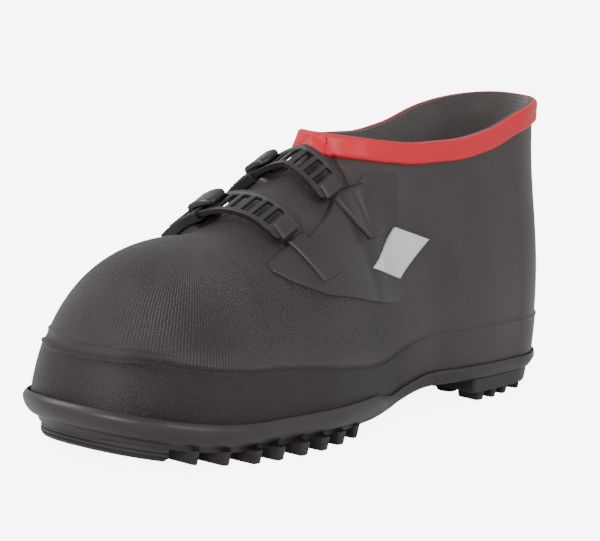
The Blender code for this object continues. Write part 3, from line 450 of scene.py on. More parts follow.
def ring_faces(count, size):
    """Faces between rings of points, each ring closed on itself."""
    faces = [list(f) for f in grid_faces(count, size, False)]
    for k in range(0, (count - 1) * size, size):
        faces.append([k + size - 1, k, k + size, k + 2 * size - 1])
    return faces


def mesh_object(
    names, points, faces, materials, slots=None, angle=40, fields=None, wall_map=None, turn=None
):
    """A finished piece. names holds its own, the node that it replaces and its material slot, which
    is not used; then come its mesh, materials, float attributes and its map of length and height.
    Where the map closes on itself after a length turn, the last faces read on past it."""
    name, node, slot = names
    mesh = bpy.data.meshes.new(name)
    mesh.from_pydata(np.asarray(points).tolist(), [], [[int(i) for i in f] for f in faces])
    for finish in materials:
        mesh.materials.append(finish)
    if slots is not None:
        mesh.polygons.foreach_set("material_index", np.asarray(slots, np.int32))
    for label, values in (fields or {}).items():
        layer = mesh.attributes.new(label, "FLOAT", "POINT")
        layer.data.foreach_set("value", np.asarray(values, np.float32))
    if wall_map is not None:
        corner = np.empty(len(mesh.loops), np.int32)
        mesh.loops.foreach_get("vertex_index", corner)
        spot = np.asarray(wall_map, np.float32)[corner]
        if turn is not None:
            start = np.empty(len(mesh.polygons), np.int32)
            mesh.polygons.foreach_get("loop_start", start)
            far = np.repeat(
                np.maximum.reduceat(spot[:, 0], start), np.diff(np.append(start, len(corner)))
            )
            spot[:, 0] += np.where(far - spot[:, 0] > turn / 2, turn, 0)
        layer = mesh.uv_layers.new(name="wall")
        layer.data.foreach_set("uv", spot.ravel())
    mesh.update()
    mesh.validate()
    work = bmesh.new()
    work.from_mesh(mesh)
    bmesh.ops.remove_doubles(work, verts=work.verts, dist=1e-6)
    bmesh.ops.recalc_face_normals(work, faces=work.faces)
    work.to_mesh(mesh)
    work.free()
    mesh.shade_smooth()
    mesh.set_sharp_from_angle(angle=math.radians(angle))
    made = bpy.data.objects.new(name, mesh)
    bpy.context.collection.objects.link(made)
    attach(made, "root")
    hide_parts(node)
    return made


def group_of(name, inputs, outputs):
    """An empty shader node group with named inputs, as (name, kind, value), and outputs."""
    group = bpy.data.node_groups.new(name, "ShaderNodeTree")
    for label, kind, value in inputs:
        socket = group.interface.new_socket(label, in_out="INPUT", socket_type=kind)
        socket.default_value = value
    for label, kind in outputs:
        group.interface.new_socket(label, in_out="OUTPUT", socket_type=kind)
    return group, group.nodes.new("NodeGroupInput"), group.nodes.new("NodeGroupOutput")


def math_node(tree, operation, first, second=None, third=None, clamp=False):
    """A Math node whose inputs are sockets or numbers."""
    node = tree.nodes.new("ShaderNodeMath")
    node.operation = operation
    node.use_clamp = clamp
    for i, value in enumerate((first, second, third)):
        if value is None:
            continue
        if isinstance(value, (int, float)):
            node.inputs[i].default_value = value
        else:
            tree.links.new(value, node.inputs[i])
    return node.outputs[0]


def noise_node(tree, vector, scale, detail=3.0, rough=0.55):
    """A Noise Texture's value at a position."""
    node = tree.nodes.new("ShaderNodeTexNoise")
    node.inputs["Scale"].default_value = scale
    node.inputs["Detail"].default_value = detail
    node.inputs["Roughness"].default_value = rough
    tree.links.new(vector, node.inputs["Vector"])
    return node.outputs["Fac"]


def ramp_node(tree, value, dark, light, start=0.0, end=1.0):
    """A colour from dark to light as the value goes from start to end."""
    node = tree.nodes.new("ShaderNodeValToRGB")
    for stop, colour, place in zip(node.color_ramp.elements, (dark, light), (start, end)):
        stop.color, stop.position = (*colour, 1), place
    tree.links.new(value, node.inputs["Fac"])
    return node.outputs["Color"]


def bump_node(tree, height, distance, strength=1.0, onto=None):
    """A normal bumped by a height, over the normal onto where one is given."""
    node = tree.nodes.new("ShaderNodeBump")
    node.inputs["Strength"].default_value = strength
    node.inputs["Distance"].default_value = distance
    tree.links.new(height, node.inputs["Height"])
    if onto is not None:
        tree.links.new(onto, node.inputs["Normal"])
    return node.outputs["Normal"]


def new_material(name):
    """A material with nodes: itself, its tree, its shader's inputs and the place on the piece."""
    made = bpy.data.materials.new(name)
    made.use_nodes = True
    tree = made.node_tree
    where = tree.nodes.new("ShaderNodeTexCoord").outputs["Object"]
    return made, tree, tree.nodes["Principled BSDF"].inputs, where


def print_node(tree):
    """The fabric print, read from the piece's own map."""
    own = tree.nodes.new("ShaderNodeUVMap")
    own.uv_map = "wall"
    node = tree.nodes.new("ShaderNodeGroup")
    node.node_tree = FABRIC_PRINT
    tree.links.new(own.outputs["UV"], node.inputs["Wall"])
    return node


def build_rubber_look():
    """Moulded rubber: colour mottled by broad and fine noise, lighter patches from broad noise
    (dust, and on the red band painted highlights), and a grain height; all from the position on the
    piece."""
    tree, start, end = group_of(
        "moulded_rubber",
        [
            ("Position", "NodeSocketVector", (0, 0, 0)),
            ("Rubber", "NodeSocketColor", (0.04, 0.04, 0.04, 1)),
            ("Dust and highlight", "NodeSocketColor", (0.12, 0.115, 0.11, 1)),
            ("Dust and highlight amount", "NodeSocketFloat", 0.15),
            ("Gloss", "NodeSocketFloat", 0.5),
        ],
        [
            ("Color", "NodeSocketColor"),
            ("Roughness", "NodeSocketFloat"),
            ("Grain", "NodeSocketFloat"),
        ],
    )
    place = start.outputs["Position"]
    broad = noise_node(tree, place, 28.0, 4.0)
    fine = noise_node(tree, place, 900.0, 2.0)
    speck = noise_node(tree, place, 2600.0, 1.0)
    # Broad patches of a lighter colour: dust on most rubbers, and painted highlights on the red
    # band.
    patch = math_node(tree, "MULTIPLY_ADD", broad, 2.2, -0.75, clamp=True)
    dust_and_highlight_share = math_node(tree, "MULTIPLY", patch, start.outputs["Dust and highlight amount"], clamp=True)
    mix = tree.nodes.new("ShaderNodeMix")
    mix.data_type = "RGBA"
    tree.links.new(dust_and_highlight_share, mix.inputs["Factor"])
    tree.links.new(start.outputs["Rubber"], mix.inputs["A"])
    tree.links.new(start.outputs["Dust and highlight"], mix.inputs["B"])
    shade = math_node(tree, "MULTIPLY_ADD", fine, 0.30, 0.85)
    tone = tree.nodes.new("ShaderNodeVectorMath")
    tone.operation = "SCALE"
    tree.links.new(mix.outputs["Result"], tone.inputs[0])
    tree.links.new(shade, tone.inputs["Scale"])
    tree.links.new(tone.outputs["Vector"], end.inputs["Color"])
    gloss = math_node(tree, "MULTIPLY_ADD", broad, 0.18, start.outputs["Gloss"])
    dull = math_node(tree, "MULTIPLY_ADD", dust_and_highlight_share, 0.25, gloss, clamp=True)
    tree.links.new(dull, end.inputs["Roughness"])
    tree.links.new(math_node(tree, "MULTIPLY_ADD", speck, 0.5, fine), end.inputs["Grain"])
    return tree


def build_fabric_print():
    """The mould's fabric print, from the map of length and height on the wall: upright ribs, and
    two crossed sets of slanted threads, each set a sine of the distance across it."""
    tree, start, end = group_of(
        "fabric_print",
        [
            ("Wall", "NodeSocketVector", (0, 0, 0)),
            ("Rib pitch", "NodeSocketFloat", 0.0017),
            ("Thread pitch", "NodeSocketFloat", 0.0011),
            ("Ribs", "NodeSocketFloat", 0.0),
            ("Threads", "NodeSocketFloat", 0.0),
        ],
        [("Height", "NodeSocketFloat")],
    )
    split = tree.nodes.new("ShaderNodeSeparateXYZ")
    tree.links.new(start.outputs["Wall"], split.inputs[0])
    u, v = split.outputs["X"], split.outputs["Y"]

    def wave(across, pitch):
        """A sine of the distance across, once in each pitch."""
        turns = math_node(tree, "DIVIDE", across, pitch)
        return math_node(tree, "SINE", math_node(tree, "MULTIPLY", turns, 2 * math.pi))

    rib = wave(u, start.outputs["Rib pitch"])
    tick_pitch = math_node(tree, "MULTIPLY", start.outputs["Rib pitch"], 0.55)
    tick = math_node(tree, "MULTIPLY", wave(v, tick_pitch), 0.35)
    upright = math_node(tree, "ADD", rib, tick)
    one = wave(math_node(tree, "ADD", u, v), start.outputs["Thread pitch"])
    two = wave(math_node(tree, "SUBTRACT", u, v), start.outputs["Thread pitch"])
    crossed = math_node(tree, "MAXIMUM", one, two)
    ribs = math_node(tree, "MULTIPLY", upright, start.outputs["Ribs"])
    threads = math_node(tree, "MULTIPLY", crossed, start.outputs["Threads"])
    tree.links.new(math_node(tree, "ADD", ribs, threads), end.inputs["Height"])
    return tree


RUBBER_LOOK = build_rubber_look()
FABRIC_PRINT = build_fabric_print()


def rubber_material(name, colour, dust_and_highlight, dust_and_highlight_amount, gloss, grain, printed=None):
    """A rubber finish. printed gives the strength in metres of the fabric print, read from the
    piece's own map and its ribs and threads fields."""
    made, tree, shader, where = new_material(name)
    shader["Specular IOR Level"].default_value = 0.34
    look = tree.nodes.new("ShaderNodeGroup")
    look.node_tree = RUBBER_LOOK
    tree.links.new(where, look.inputs["Position"])
    look.inputs["Rubber"].default_value = (*colour, 1)
    look.inputs["Dust and highlight"].default_value = (*dust_and_highlight, 1)
    look.inputs["Dust and highlight amount"].default_value = dust_and_highlight_amount
    look.inputs["Gloss"].default_value = gloss
    tree.links.new(look.outputs["Color"], shader["Base Color"])
    tree.links.new(look.outputs["Roughness"], shader["Roughness"])
    raised = None
    if printed is not None:
        relief = print_node(tree)
        for label, field in (("Ribs", "ribs"), ("Threads", "threads")):
            read = tree.nodes.new("ShaderNodeAttribute")
            read.attribute_name = field
            tree.links.new(read.outputs["Fac"], relief.inputs[label])
        raised = bump_node(tree, relief.outputs["Height"], printed)
    grained = bump_node(tree, look.outputs["Grain"], grain, 0.6, raised)
    tree.links.new(grained, shader["Normal"])
    return made


SHELL_RUBBER = rubber_material(
    "shell_rubber", (0.0205, 0.0150, 0.0152), (0.075, 0.062, 0.061),
    dust_and_highlight_amount=0.18, gloss=0.36, grain=0.00007, printed=0.00042,
)


def knit_material():
    """Dark knit lining: rows of loops from two crossed sines of the wall's own map."""
    made, tree, shader, where = new_material("knit_lining")
    shader["Roughness"].default_value = 0.95
    shader["Sheen Weight"].default_value = 0.25
    cloud = noise_node(tree, where, 60.0, 5.0)
    colour = ramp_node(tree, cloud, (0.025, 0.021, 0.020), (0.066, 0.056, 0.053))
    tree.links.new(colour, shader["Base Color"])
    relief = print_node(tree)
    for label, value in (
        ("Rib pitch", 0.0013), ("Ribs", 0.6), ("Threads", 0.4), ("Thread pitch", 0.0013)
    ):
        relief.inputs[label].default_value = value
    loops = bump_node(tree, relief.outputs["Height"], 0.0002, 0.6)
    tree.links.new(loops, shader["Normal"])
    return made


KNIT = knit_material()
FINE = Lines(48, 156, 40)

# The step below the foxing line, and the beads: height above the line, how proud, half-width,
# and 1 for a bead that runs round the toe only.
FOXING_STEP = 0.0006
TOE_BEAD_RISE = 0.0050
BEADS = (
    (-0.0007, 0.0004, 0.0006, 0),
    (TOE_BEAD_RISE, 0.0008, 0.0008, 1),
    (-0.0007, 0.0005, 0.0009, 1),
)

# Where along X the beads and the fabric print begin and are full, and the height above the foxing
# line over which the ribs fade out.
TOE_BEADS_FROM = (0.118, 0.150)
PRINT_FROM = (-0.060, 0.010)
NOSE_FROM = (0.125, 0.160)
RIBS_FADE = (0.030, 0.052)

# The lining takes every third row of the wall.
LINING_ROWS = 3


def shell_relief(lines, grid):
    """How far the outer face stands proud of the plain wall: a step below the foxing line with a
    bead along it, and one more bead round the toe, each bead a bell curve of the height."""
    height = grid[..., 2] - lines.base()[:, None]
    line = foxing_height(grid[..., 0])
    toe = ease(*TOE_BEADS_FROM, grid[..., 0])
    relief = FOXING_STEP * (1 - ease(-0.0002, 0.0003, height - line))
    for rise, proud, width, toe_only in BEADS:
        bell = np.exp(-(((height - line - rise) / width) ** 2))
        relief = relief + proud * (toe if toe_only else 1) * bell
    return relief


def shell_print(lines, outer):
    """How strong the ribs and the crossed threads of the print are at each point of the wall."""
    clear = outer[..., 2] - lines.base()[:, None] - foxing_height(outer[..., 0])
    front = ease(*PRINT_FROM, outer[..., 0])
    above = ease(0.0008, 0.0025, clear)
    nose = ease(*NOSE_FROM, outer[..., 0])
    ribs = above * front * (1 - ease(*RIBS_FADE, clear)) * (0.4 + 0.6 * ease(0.0, 0.012, clear))
    threads = front * (1 - above) * 1.1 + nose * above * 0.5
    threads = threads + 0.25 * above * front * ease(0.02, 0.05, clear)
    return ribs * (1 - 0.8 * nose), threads


def shell_map(outer):
    """The map of length round the wall and height up it, and the length of the whole turn."""
    rise = np.linalg.norm(np.diff(outer, axis=1), axis=-1).cumsum(axis=1)
    rise = np.concatenate([np.zeros((len(outer), 1)), rise], axis=1)
    reach = np.linalg.norm(np.diff(outer[:, 20], axis=0, append=outer[:1, 20]), axis=-1)
    around = np.concatenate([[0], np.cumsum(reach)[:-1]])
    around = np.broadcast_to(around[:, None], rise.shape)
    return np.stack([around, rise], axis=-1), float(reach.sum())


def ridge_normals(lines, n):
    """Normals with their top row put right where the two sides meet: the mean of both sides, and
    straight up round the toe."""
    ridge = lines.rim < 1e-9
    n[ridge, -1] = n[ridge, -2] * (1, 0, 1)
    n[ridge, -1] /= np.linalg.norm(n[ridge, -1], axis=-1, keepdims=True)
    mirrored = (-np.arange(lines.count)) % lines.count
    n[ridge, -1] = (n[ridge, -1] + n[mirrored][ridge, -1]) / 2
    n[ridge & (np.abs(lines.dx) > 1e-9), -1] = (0.0, 0.0, 1.0)
    return n


def build_shell(lines):
    """The wall: outer and inner faces a constant thickness apart, a rounded top at the collar and
    a flat edge below. Rows crowd together round the foxing line and the bead above it."""
    base = np.linspace(0, 1, 96) ** 0.95
    plain = lines.points(base)
    line = lines.base() + foxing_height(plain[:, 0, 0])
    near = np.array([-0.016, -0.012, -0.008, -0.005, -0.002, 0.0, 0.001, 0.003, 0.006])
    near = lines.share_at(line)[:, None] + near
    high = lines.share_at(line + TOE_BEAD_RISE)[:, None] + np.linspace(-0.014, 0.014, 9)
    base = np.broadcast_to(base, plain.shape[:2])
    outer = lines.points(np.sort(np.concatenate([base, near, high], axis=1), axis=1))
    n = ridge_normals(lines, wall_normals(outer))
    skin = outer + n * shell_relief(lines, outer)[..., None]
    inner = outer[:, ::LINING_ROWS] - n[:, ::LINING_ROWS] * WALL
    inner[:, -1] = outer[:, -1] - n[:, -1] * WALL
    skin[:, 0, 2] = inner[:, 0, 2] = outer[:, 0, 2]
    count, rows = skin.shape[:2]
    inside = inner.shape[1]
    size = count * rows
    points = np.concatenate([skin.reshape(-1, 3), inner.reshape(-1, 3)])
    i = np.arange(count)
    j = (i + 1) % count
    hem = np.stack([size + i * inside, size + j * inside, j * rows, i * rows], axis=1)
    mouth = (lines.rim[i] > 1e-9) | (lines.rim[j] > 1e-9)
    top = np.stack(
        [
            i * rows + rows - 1, j * rows + rows - 1,
            size + j * inside + inside - 1, size + i * inside + inside - 1,
        ],
        axis=1,
    )[mouth]
    wall, lining = grid_faces(count, rows, True), grid_faces(count, inside, True)[:, ::-1] + size
    slots = np.zeros(len(wall) + len(lining) + len(hem) + len(top), int)
    slots[len(wall) : len(wall) + len(lining)] = 1
    plain = np.zeros(count * inside)
    ribs, threads = (np.concatenate([part.ravel(), plain]) for part in shell_print(lines, outer))
    span, turn = shell_map(outer)
    inner_span = span[:, ::LINING_ROWS][:, :inside]
    return mesh_object(
        ("shell", "upper", "black_rubber"), points, np.concatenate([wall, lining, hem, top]),
        [SHELL_RUBBER, KNIT], slots, 50, {"ribs": ribs, "threads": threads},
        np.concatenate([span.reshape(-1, 2), inner_span.reshape(-1, 2)]), turn,
    )


shell = build_shell(FINE)


# Sole plate.
# One moulding with the bumper flange that runs round the forefoot, a lug field set inside it and
# an arched waist with the mould's fabric print, up to the top of the heel block.

# One row for each point of the sole's edge section, from the seat round to the lug field: how far
# it stands out from the feather edge; its height above the seat, or else above the underside;
# then its reach and its height where there is no flange.
EDGE = (
    (0.0013, 0.0000, None, 0.0011, 0.0000),
    (0.0014, 0.0066, None, 0.0013, 0.0008),
    (0.0021, 0.0076, None, 0.0018, 0.0012),
    (0.0038, 0.0050, None, 0.0022, 0.0002),
    (0.0028, 0.0012, None, 0.0022, -0.0020),
    (0.0001, None, 0.0043, 0.0014, 0.0030),
    (-0.0034, None, 0.0022, 0.0004, 0.0010),
    (-0.0045, None, 0.0000, -0.0010, 0.0000),
)


# Distances back from the toe over which the waist's print fades out ahead and behind.
WAIST_PRINT_FRONT = (0.215, 0.180)
WAIST_PRINT_REAR = (0.265, 0.250)


def rounded_section(rows, steps):
    """A smooth section through the edge's rows: Catmull-Rom cubics, four numbers at a time."""
    rows = np.asarray(rows, float)
    padded = np.concatenate([rows[:1], rows, rows[-1:]])
    out = []
    for i in range(len(rows) - 1):
        a, b, c, d = padded[i : i + 4]
        t = np.linspace(0, 1, steps, endpoint=False)[:, None]
        out.append(
            0.5
            * (
                2 * b
                + (c - a) * t
                + (2 * a - 5 * b + 4 * c - d) * t**2
                + (3 * b - a - 3 * c + d) * t**3
            )
        )
    return np.concatenate([*out, rows[-1:]])


def sole_edge(lines):
    """Rings of the sole's edge from the seat round to the lug field, as (line, ring, 3): each row
    of the edge table is placed on the lines, then smoothed round the section."""
    rings = []
    for reach, up, down, flat, flat_up in EDGE:
        plan_x = lines.axis + lines.dx * lines.foot
        share = flange_share(plan_x)
        out = flat + (reach - flat) * share
        rise = flat_up + ((up if up is not None else down) - flat_up) * share
        level = seat if up is not None else underside
        radius = lines.foot + out
        if up is not None and up > 0:
            v = lines.share_at(lines.base() + np.maximum(rise, 0))
            r, _ = lines.profile(np.repeat(v[:, None], 2, axis=1))
            radius = np.maximum(radius, r[:, 0] + FOXING_STEP + 0.0005)
        x = lines.axis + lines.dx * radius
        rings.append(np.column_stack([x, lines.dy * radius, level(plan_x) + rise]))
    stack = np.stack(rings)
    rounded = rounded_section(stack.reshape(len(EDGE), -1), 4)
    return np.swapaxes(rounded.reshape(-1, lines.count, 3), 0, 1)


def cross_field(ring, level, columns):
    """The face inside a ring that runs down one side and back up the other: straight rows from
    side to side, with each point's height from its place along X."""
    count = len(ring)
    half = count // 2
    near, far = ring[: half + 1], ring[(-np.arange(half + 1)) % count]
    t = np.linspace(0, 1, columns)[None, :, None]
    field = near[:, None] * (1 - t) + far[:, None] * t
    edge = field[..., 2].copy()
    field[:, 1:-1, 2] = level(field[:, 1:-1, 0])
    blend = np.minimum(t[..., 0], 1 - t[..., 0]) * columns / 2.5
    field[..., 2] = np.where(blend < 1, edge * (1 - blend) + field[..., 2] * blend, field[..., 2])
    return field


# Painted shade: this is the shell's rubber made about a quarter darker. The darkness stands for the
# shade on the flange's underside and on the sole's side below it.
SOLE_RUBBER_SHADED = rubber_material(
    "sole_rubber_shaded", (0.0150, 0.0112, 0.0112), (0.058, 0.048, 0.046),
    dust_and_highlight_amount=0.20, gloss=0.34, grain=0.00007, printed=0.00024,
)


def build_plate(lines):
    """The plate: its edge, closed above by the seat and below by the lug field."""
    edge = sole_edge(lines)
    count, rings = edge.shape[:2]
    above = cross_field(edge[:, 0], seat, 12)
    below = cross_field(edge[:, -1], underside, 40)
    points = np.concatenate([edge.reshape(-1, 3), above.reshape(-1, 3), below.reshape(-1, 3)])
    faces = [
        grid_faces(count, rings, True),
        grid_faces(*above.shape[:2], False)[:, ::-1] + edge[..., 0].size,
        grid_faces(*below.shape[:2], False) + edge[..., 0].size + above[..., 0].size,
    ]
    fore = from_toe_over(WAIST_PRINT_FRONT, points[:, 0])
    rear = from_toe_over(WAIST_PRINT_REAR, points[:, 0])
    threads = rear * (1 - fore) * 0.7
    mesh_object(
        ("sole_plate", "outsole", "tread_rubber"), points, np.concatenate(faces), [SOLE_RUBBER_SHADED],
        None, 45, {"ribs": np.zeros_like(threads), "threads": threads}, points[:, :2],
    )


build_plate(FINE)


# Forefoot tread.
# Lugs, chevrons, the toe pad and the stud bosses, moulded with the plate. Each is a low block with
# drafted walls, rounded corners and a softened top edge.

# Lugs of the forefoot, in millimetres: front and rear of the inner end, back from the toe, how far
# out it stands from the middle line, and the same three of the outer end.
MEDIAL_LUGS = (
    (39.7, 49.4, 24.0, 39.2, 43.5, 48.0),
    (53.2, 64.5, 29.0, 53.7, 59.1, 53.5),
    (69.1, 80.7, 33.0, 69.9, 75.9, 58.0),
    (83.3, 94.3, 36.0, 84.4, 90.2, 60.0),
    (100.5, 110.8, 38.0, 100.5, 106.9, 61.0),
    (115.6, 127.1, 38.0, 116.4, 122.6, 60.5),
    (131.0, 143.6, 36.5, 132.2, 138.4, 58.0),
    (147.6, 159.1, 33.0, 149.9, 154.5, 54.0),
)
LATERAL_LUGS = (
    (45.0, 59.0, 19.0, 53.0, 57.8, 46.0),
    (65.0, 75.4, 29.0, 70.0, 74.6, 53.0),
    (80.9, 91.3, 31.0, 86.8, 91.2, 57.5),
    (96.5, 107.4, 31.0, 102.3, 107.2, 60.0),
    (112.8, 123.1, 31.0, 118.0, 123.0, 61.0),
    (128.2, 139.0, 31.0, 134.0, 139.0, 61.0),
    (143.6, 155.0, 31.0, 149.0, 154.0, 58.5),
    (159.0, 169.8, 30.0, 164.0, 169.0, 55.0),
)

# Chevrons: front and rear of the arm ends and of the point, all from the toe, and the reach of
# the two arms (lateral, medial).
CHEVRONS = (
    (64.0, 71.0, 57.0, 64.5, 15.0, 26.0),
    (97.0, 104.0, 87.0, 95.0, 24.0, 32.0),
    (129.0, 136.0, 120.0, 127.5, 24.0, 31.0),
)

# Bosses and studs: distance from the toe, place across (lateral is positive), 1 for a steel stud.
BOSSES = (
    (51.0, 5.0, 1), (47.8, -17.2, 1), (84.4, 18.4, 0), (76.3, -5.1, 0), (78.9, -27.2, 0),
    (108.5, -2.9, 1), (117.5, 23.1, 0), (110.4, -29.4, 0), (141.3, -2.6, 1),
    (149.3, 21.4, 0), (142.4, -26.7, 0),
)
LUG_STUDS = ((102.7, 36.0), (134.7, 36.5), (89.9, -42.5), (121.8, -43.0))

# Sizes of a boss and of its stud: how far the boss stays off the floor, and the stud's tip.
BOSS_RADIUS = 0.0052
BOSS_SHY = 0.0010
STUD_RADIUS = 0.0021
STUD_TIP = 0.00025
STUD_POCKET = 0.0035
TREAD_ROOT = 0.0010
TREAD_ANGLE = 42


def soften(plan, reach, steps=3):
    """A plan polygon with its corners cut round: each corner becomes a quadratic curve between
    points at the given reach along its two sides."""
    plan = np.asarray(plan, float)
    before, after = np.roll(plan, 1, axis=0), np.roll(plan, -1, axis=0)
    rows = []
    for a, b, c in zip(before, plan, after):
        one = b + (a - b) * min(0.45, reach / max(np.linalg.norm(a - b), 1e-9))
        two = b + (c - b) * min(0.45, reach / max(np.linalg.norm(c - b), 1e-9))
        for t in np.linspace(0, 1, steps + 1):
            rows.append((1 - t) ** 2 * one + 2 * t * (1 - t) * b + t * t * two)
    return np.array(rows)


def drawn_in(plan, by):
    """A polygon moved inward by a distance: each point goes along the bisector of its corner."""
    side = np.roll(plan, -1, axis=0) - plan
    side /= np.maximum(np.linalg.norm(side, axis=1, keepdims=True), 1e-12)
    out = np.column_stack([side[:, 1], -side[:, 0]])
    area = np.sum(plan[:, 0] * np.roll(plan[:, 1], -1) - plan[:, 1] * np.roll(plan[:, 0], -1))
    out *= np.sign(area)
    both = out + np.roll(out, 1, axis=0)
    scale = np.maximum(np.sum(both * both, axis=1, keepdims=True) / 2, 0.35)
    return plan - both / scale * by


def block(plan, low, high, reach=0.0011, steps=3, draft=0.0007, edge=0.0006, layers=0):
    """Points and faces of one tread block, from its root at high down to its worn face at low:
    the plan is drawn in level by level and its corners cut round; the wall leans in by the draft
    and turns into the face through a quarter round. The first half of the plan runs along one
    side and the second half comes back along the other, and the two end faces join them in
    pairs."""
    turn = np.linspace(0, math.pi / 2, 4)
    rings = [(0.0, 0.0, 1)]
    for k in range(layers, 0, -1):
        up = 0.0018 * k
        for inward, rise in ((0.0, 0.0005), (0.0006, 0.0003), (0.0006, 0.0), (0.0, -0.0002)):
            rings.append((inward, up + rise, 0))
    rings += [(draft + edge * (1 - math.cos(t)), edge * (1 - math.sin(t)), 0) for t in turn]
    points = []
    for inward, above, root in rings:
        ring = soften(drawn_in(np.asarray(plan, float), inward), reach, steps)
        level = high(ring[:, 0]) if root else low(ring[:, 0]) + above
        points.append(np.column_stack([ring, np.broadcast_to(level, len(ring))]))
    size = len(points[0])
    faces = ring_faces(len(rings), size)
    for k in range(size // 2 - 1):
        pair = [k, k + 1, size - 2 - k, size - 1 - k]
        faces += [pair, [(len(rings) - 1) * size + i for i in pair]]
    return np.concatenate(points), faces


def between(ends, count):
    """A line through the given points, as that many points evenly spaced."""
    ends = np.asarray(ends, float)
    along = np.concatenate([[0], np.cumsum(np.linalg.norm(np.diff(ends, axis=0), axis=1))])
    at = np.linspace(0, along[-1], count)
    return np.column_stack([np.interp(at, along, ends[:, 0]), np.interp(at, along, ends[:, 1])])


def turned(centre, profile, sides=28):
    """Points and faces of a turned piece: each profile row (radius, height) becomes a ring."""
    a = np.linspace(0, 2 * math.pi, sides, endpoint=False)
    points = np.concatenate(
        [
            np.column_stack(
                [centre[0] + r * np.cos(a), centre[1] + r * np.sin(a), np.full(sides, h)]
            )
            for r, h in profile
        ]
    )
    return capped((points, ring_faces(len(profile), sides), len(profile), sides))


def capped(form):
    """A form of closed rings, as (points, faces, rings, points in each), closed at both ends."""
    points, faces, count, size = form
    return points, faces + [list(range(size)), list(range((count - 1) * size, count * size))]


def gather(parts):
    """Many small closed forms as one list of points and one of faces."""
    points, faces, start = [], [], 0
    for p, f in parts:
        points.append(p)
        faces += [[start + int(i) for i in face] for face in f]
        start += len(p)
    return np.concatenate(points), faces


def boss_form(centre, low, high):
    """A round pad with a dished hole for the stud, its rim rounded."""
    r, hole = BOSS_RADIUS, STUD_RADIUS + 0.0003
    profile = (
        (r + 0.0008, high), (r + 0.0002, low + 0.0010), (r - 0.0002, low + 0.0003),
        (r - 0.0007, low), (hole + 0.0010, low), (hole + 0.0004, low + 0.0003),
        (hole, low + 0.0009), (hole, low + STUD_POCKET),
    )
    return turned(centre, profile)


def lug_plan(sign, row, place):
    """The four corners of a lug from its row of the table."""
    f0, r0, at0, f1, r1, at1 = row
    plan = [(f0, at0), (f1, at1), (r1, at1), (r0, at0)]
    return [(place(d * 0.001), sign * a * 0.001) for d, a in plan]


def chevron_plan(row, place):
    """The eight corners of a V-shaped bar from its row of the table."""
    ef, er, pf, pr, lateral, medial = (0.001 * v for v in row)
    return [
        (place(ef), -lateral), (place(pf), 0.0005), (place(pf), 0.0045), (place(ef), medial),
        (place(er), medial), (place(pr), 0.0045), (place(pr), 0.0005), (place(er), -lateral),
    ]


def toe_plan(lines):
    """The toe pad: the sole's outline drawn in, cut off behind by a flat V."""
    ring = lines.outline(-0.0055)
    near = ring[:, 0] > from_toe(0.0335)
    order = np.roll(np.arange(lines.count), -int(np.argmin(near)))
    front = [tuple(ring[i]) for i in order if near[i]][::3]
    if front[0][1] > front[-1][1]:
        front.reverse()
    behind = [(from_toe(0.030), 0.030), (from_toe(0.040), 0.004), (from_toe(0.0285), -0.027)]
    return np.concatenate([front, between(behind, len(front))])


def sunk(x):
    """Just above the lug field, where the tread blocks are rooted."""
    return underside(x) + TREAD_ROOT


forms = []
for sign, table in ((1, MEDIAL_LUGS), (-1, LATERAL_LUGS)):
    for row in table:
        forms.append(block(lug_plan(sign, row, from_toe), spring, sunk))
for row in CHEVRONS:
    forms.append(block(chevron_plan(row, from_toe), spring, sunk, 0.0010))
forms.append(block(toe_plan(FINE), spring, sunk, 0.0010, 1, 0.0006, 0.0009, 2))
for t, y, _ in BOSSES:
    x = from_toe(t * 0.001)
    forms.append(boss_form((x, -y * 0.001), float(spring(x)) + BOSS_SHY, float(sunk(x))))
points, faces = gather(forms)
# Painted shade: darker still than the sole plate's rubber. The darkness stands for the shade on the
# lugs and toe pad below the flange.
TREAD_RUBBER_SHADED = rubber_material(
    "tread_rubber", (0.0130, 0.0098, 0.0098), (0.056, 0.046, 0.044),
    dust_and_highlight_amount=0.22, gloss=0.42, grain=0.00009,
)
mesh_object(
    ("forefoot_tread", "outsole", "tread_rubber"), points, faces, [TREAD_RUBBER_SHADED], None, TREAD_ANGLE
)


# Waist label.
# A plain frame with a plain size number on the waist, and the edge where the forefoot's rubber
# ends, all a little raised.

LABEL_FRONT, LABEL_REAR = 0.1935, 0.2110
LABEL_LATERAL, LABEL_MEDIAL = -0.0170, 0.0140
LABEL_LINE = 0.0006
LABEL_PROUD = 0.0003
DIGIT_TALL = 0.0046
DIGIT_LINE = 0.0007
FOREFOOT_END = 0.1815
FOREFOOT_END_LINE = 0.0012
FOREFOOT_END_PROUD = 0.0004

# Strokes of the two digits, right and up as shares of their height.
DIGITS = (
    ((-0.62, 0.78), (-0.42, 1.00), (-0.42, 0.00)),
    (
        (0.05, 0.76), (0.14, 0.94), (0.34, 1.00), (0.54, 0.92),
        (0.58, 0.72), (0.46, 0.50), (0.05, 0.00), (0.62, 0.00),
    ),
)

LABEL_RED = rubber_material(
    "label_red", (0.34, 0.012, 0.012), (0.40, 0.05, 0.05),
    dust_and_highlight_amount=0.15, gloss=0.45, grain=0.00005,
)


def stroke(path, width):
    """A line of points as a plan polygon: out along one side and back along the other."""
    path = np.asarray(path, float)
    along = np.gradient(path, axis=0)
    along /= np.linalg.norm(along, axis=1, keepdims=True)
    aside = np.column_stack([-along[:, 1], along[:, 0]]) * width / 2
    return np.concatenate([path + aside, (path - aside)[::-1]])


def raised_line(plan, tall):
    """A low moulded line on the underside of the waist."""
    return block(plan, lambda x: underside(x) - tall, sunk, 0.00015, 2, 0.0001, 0.00012)


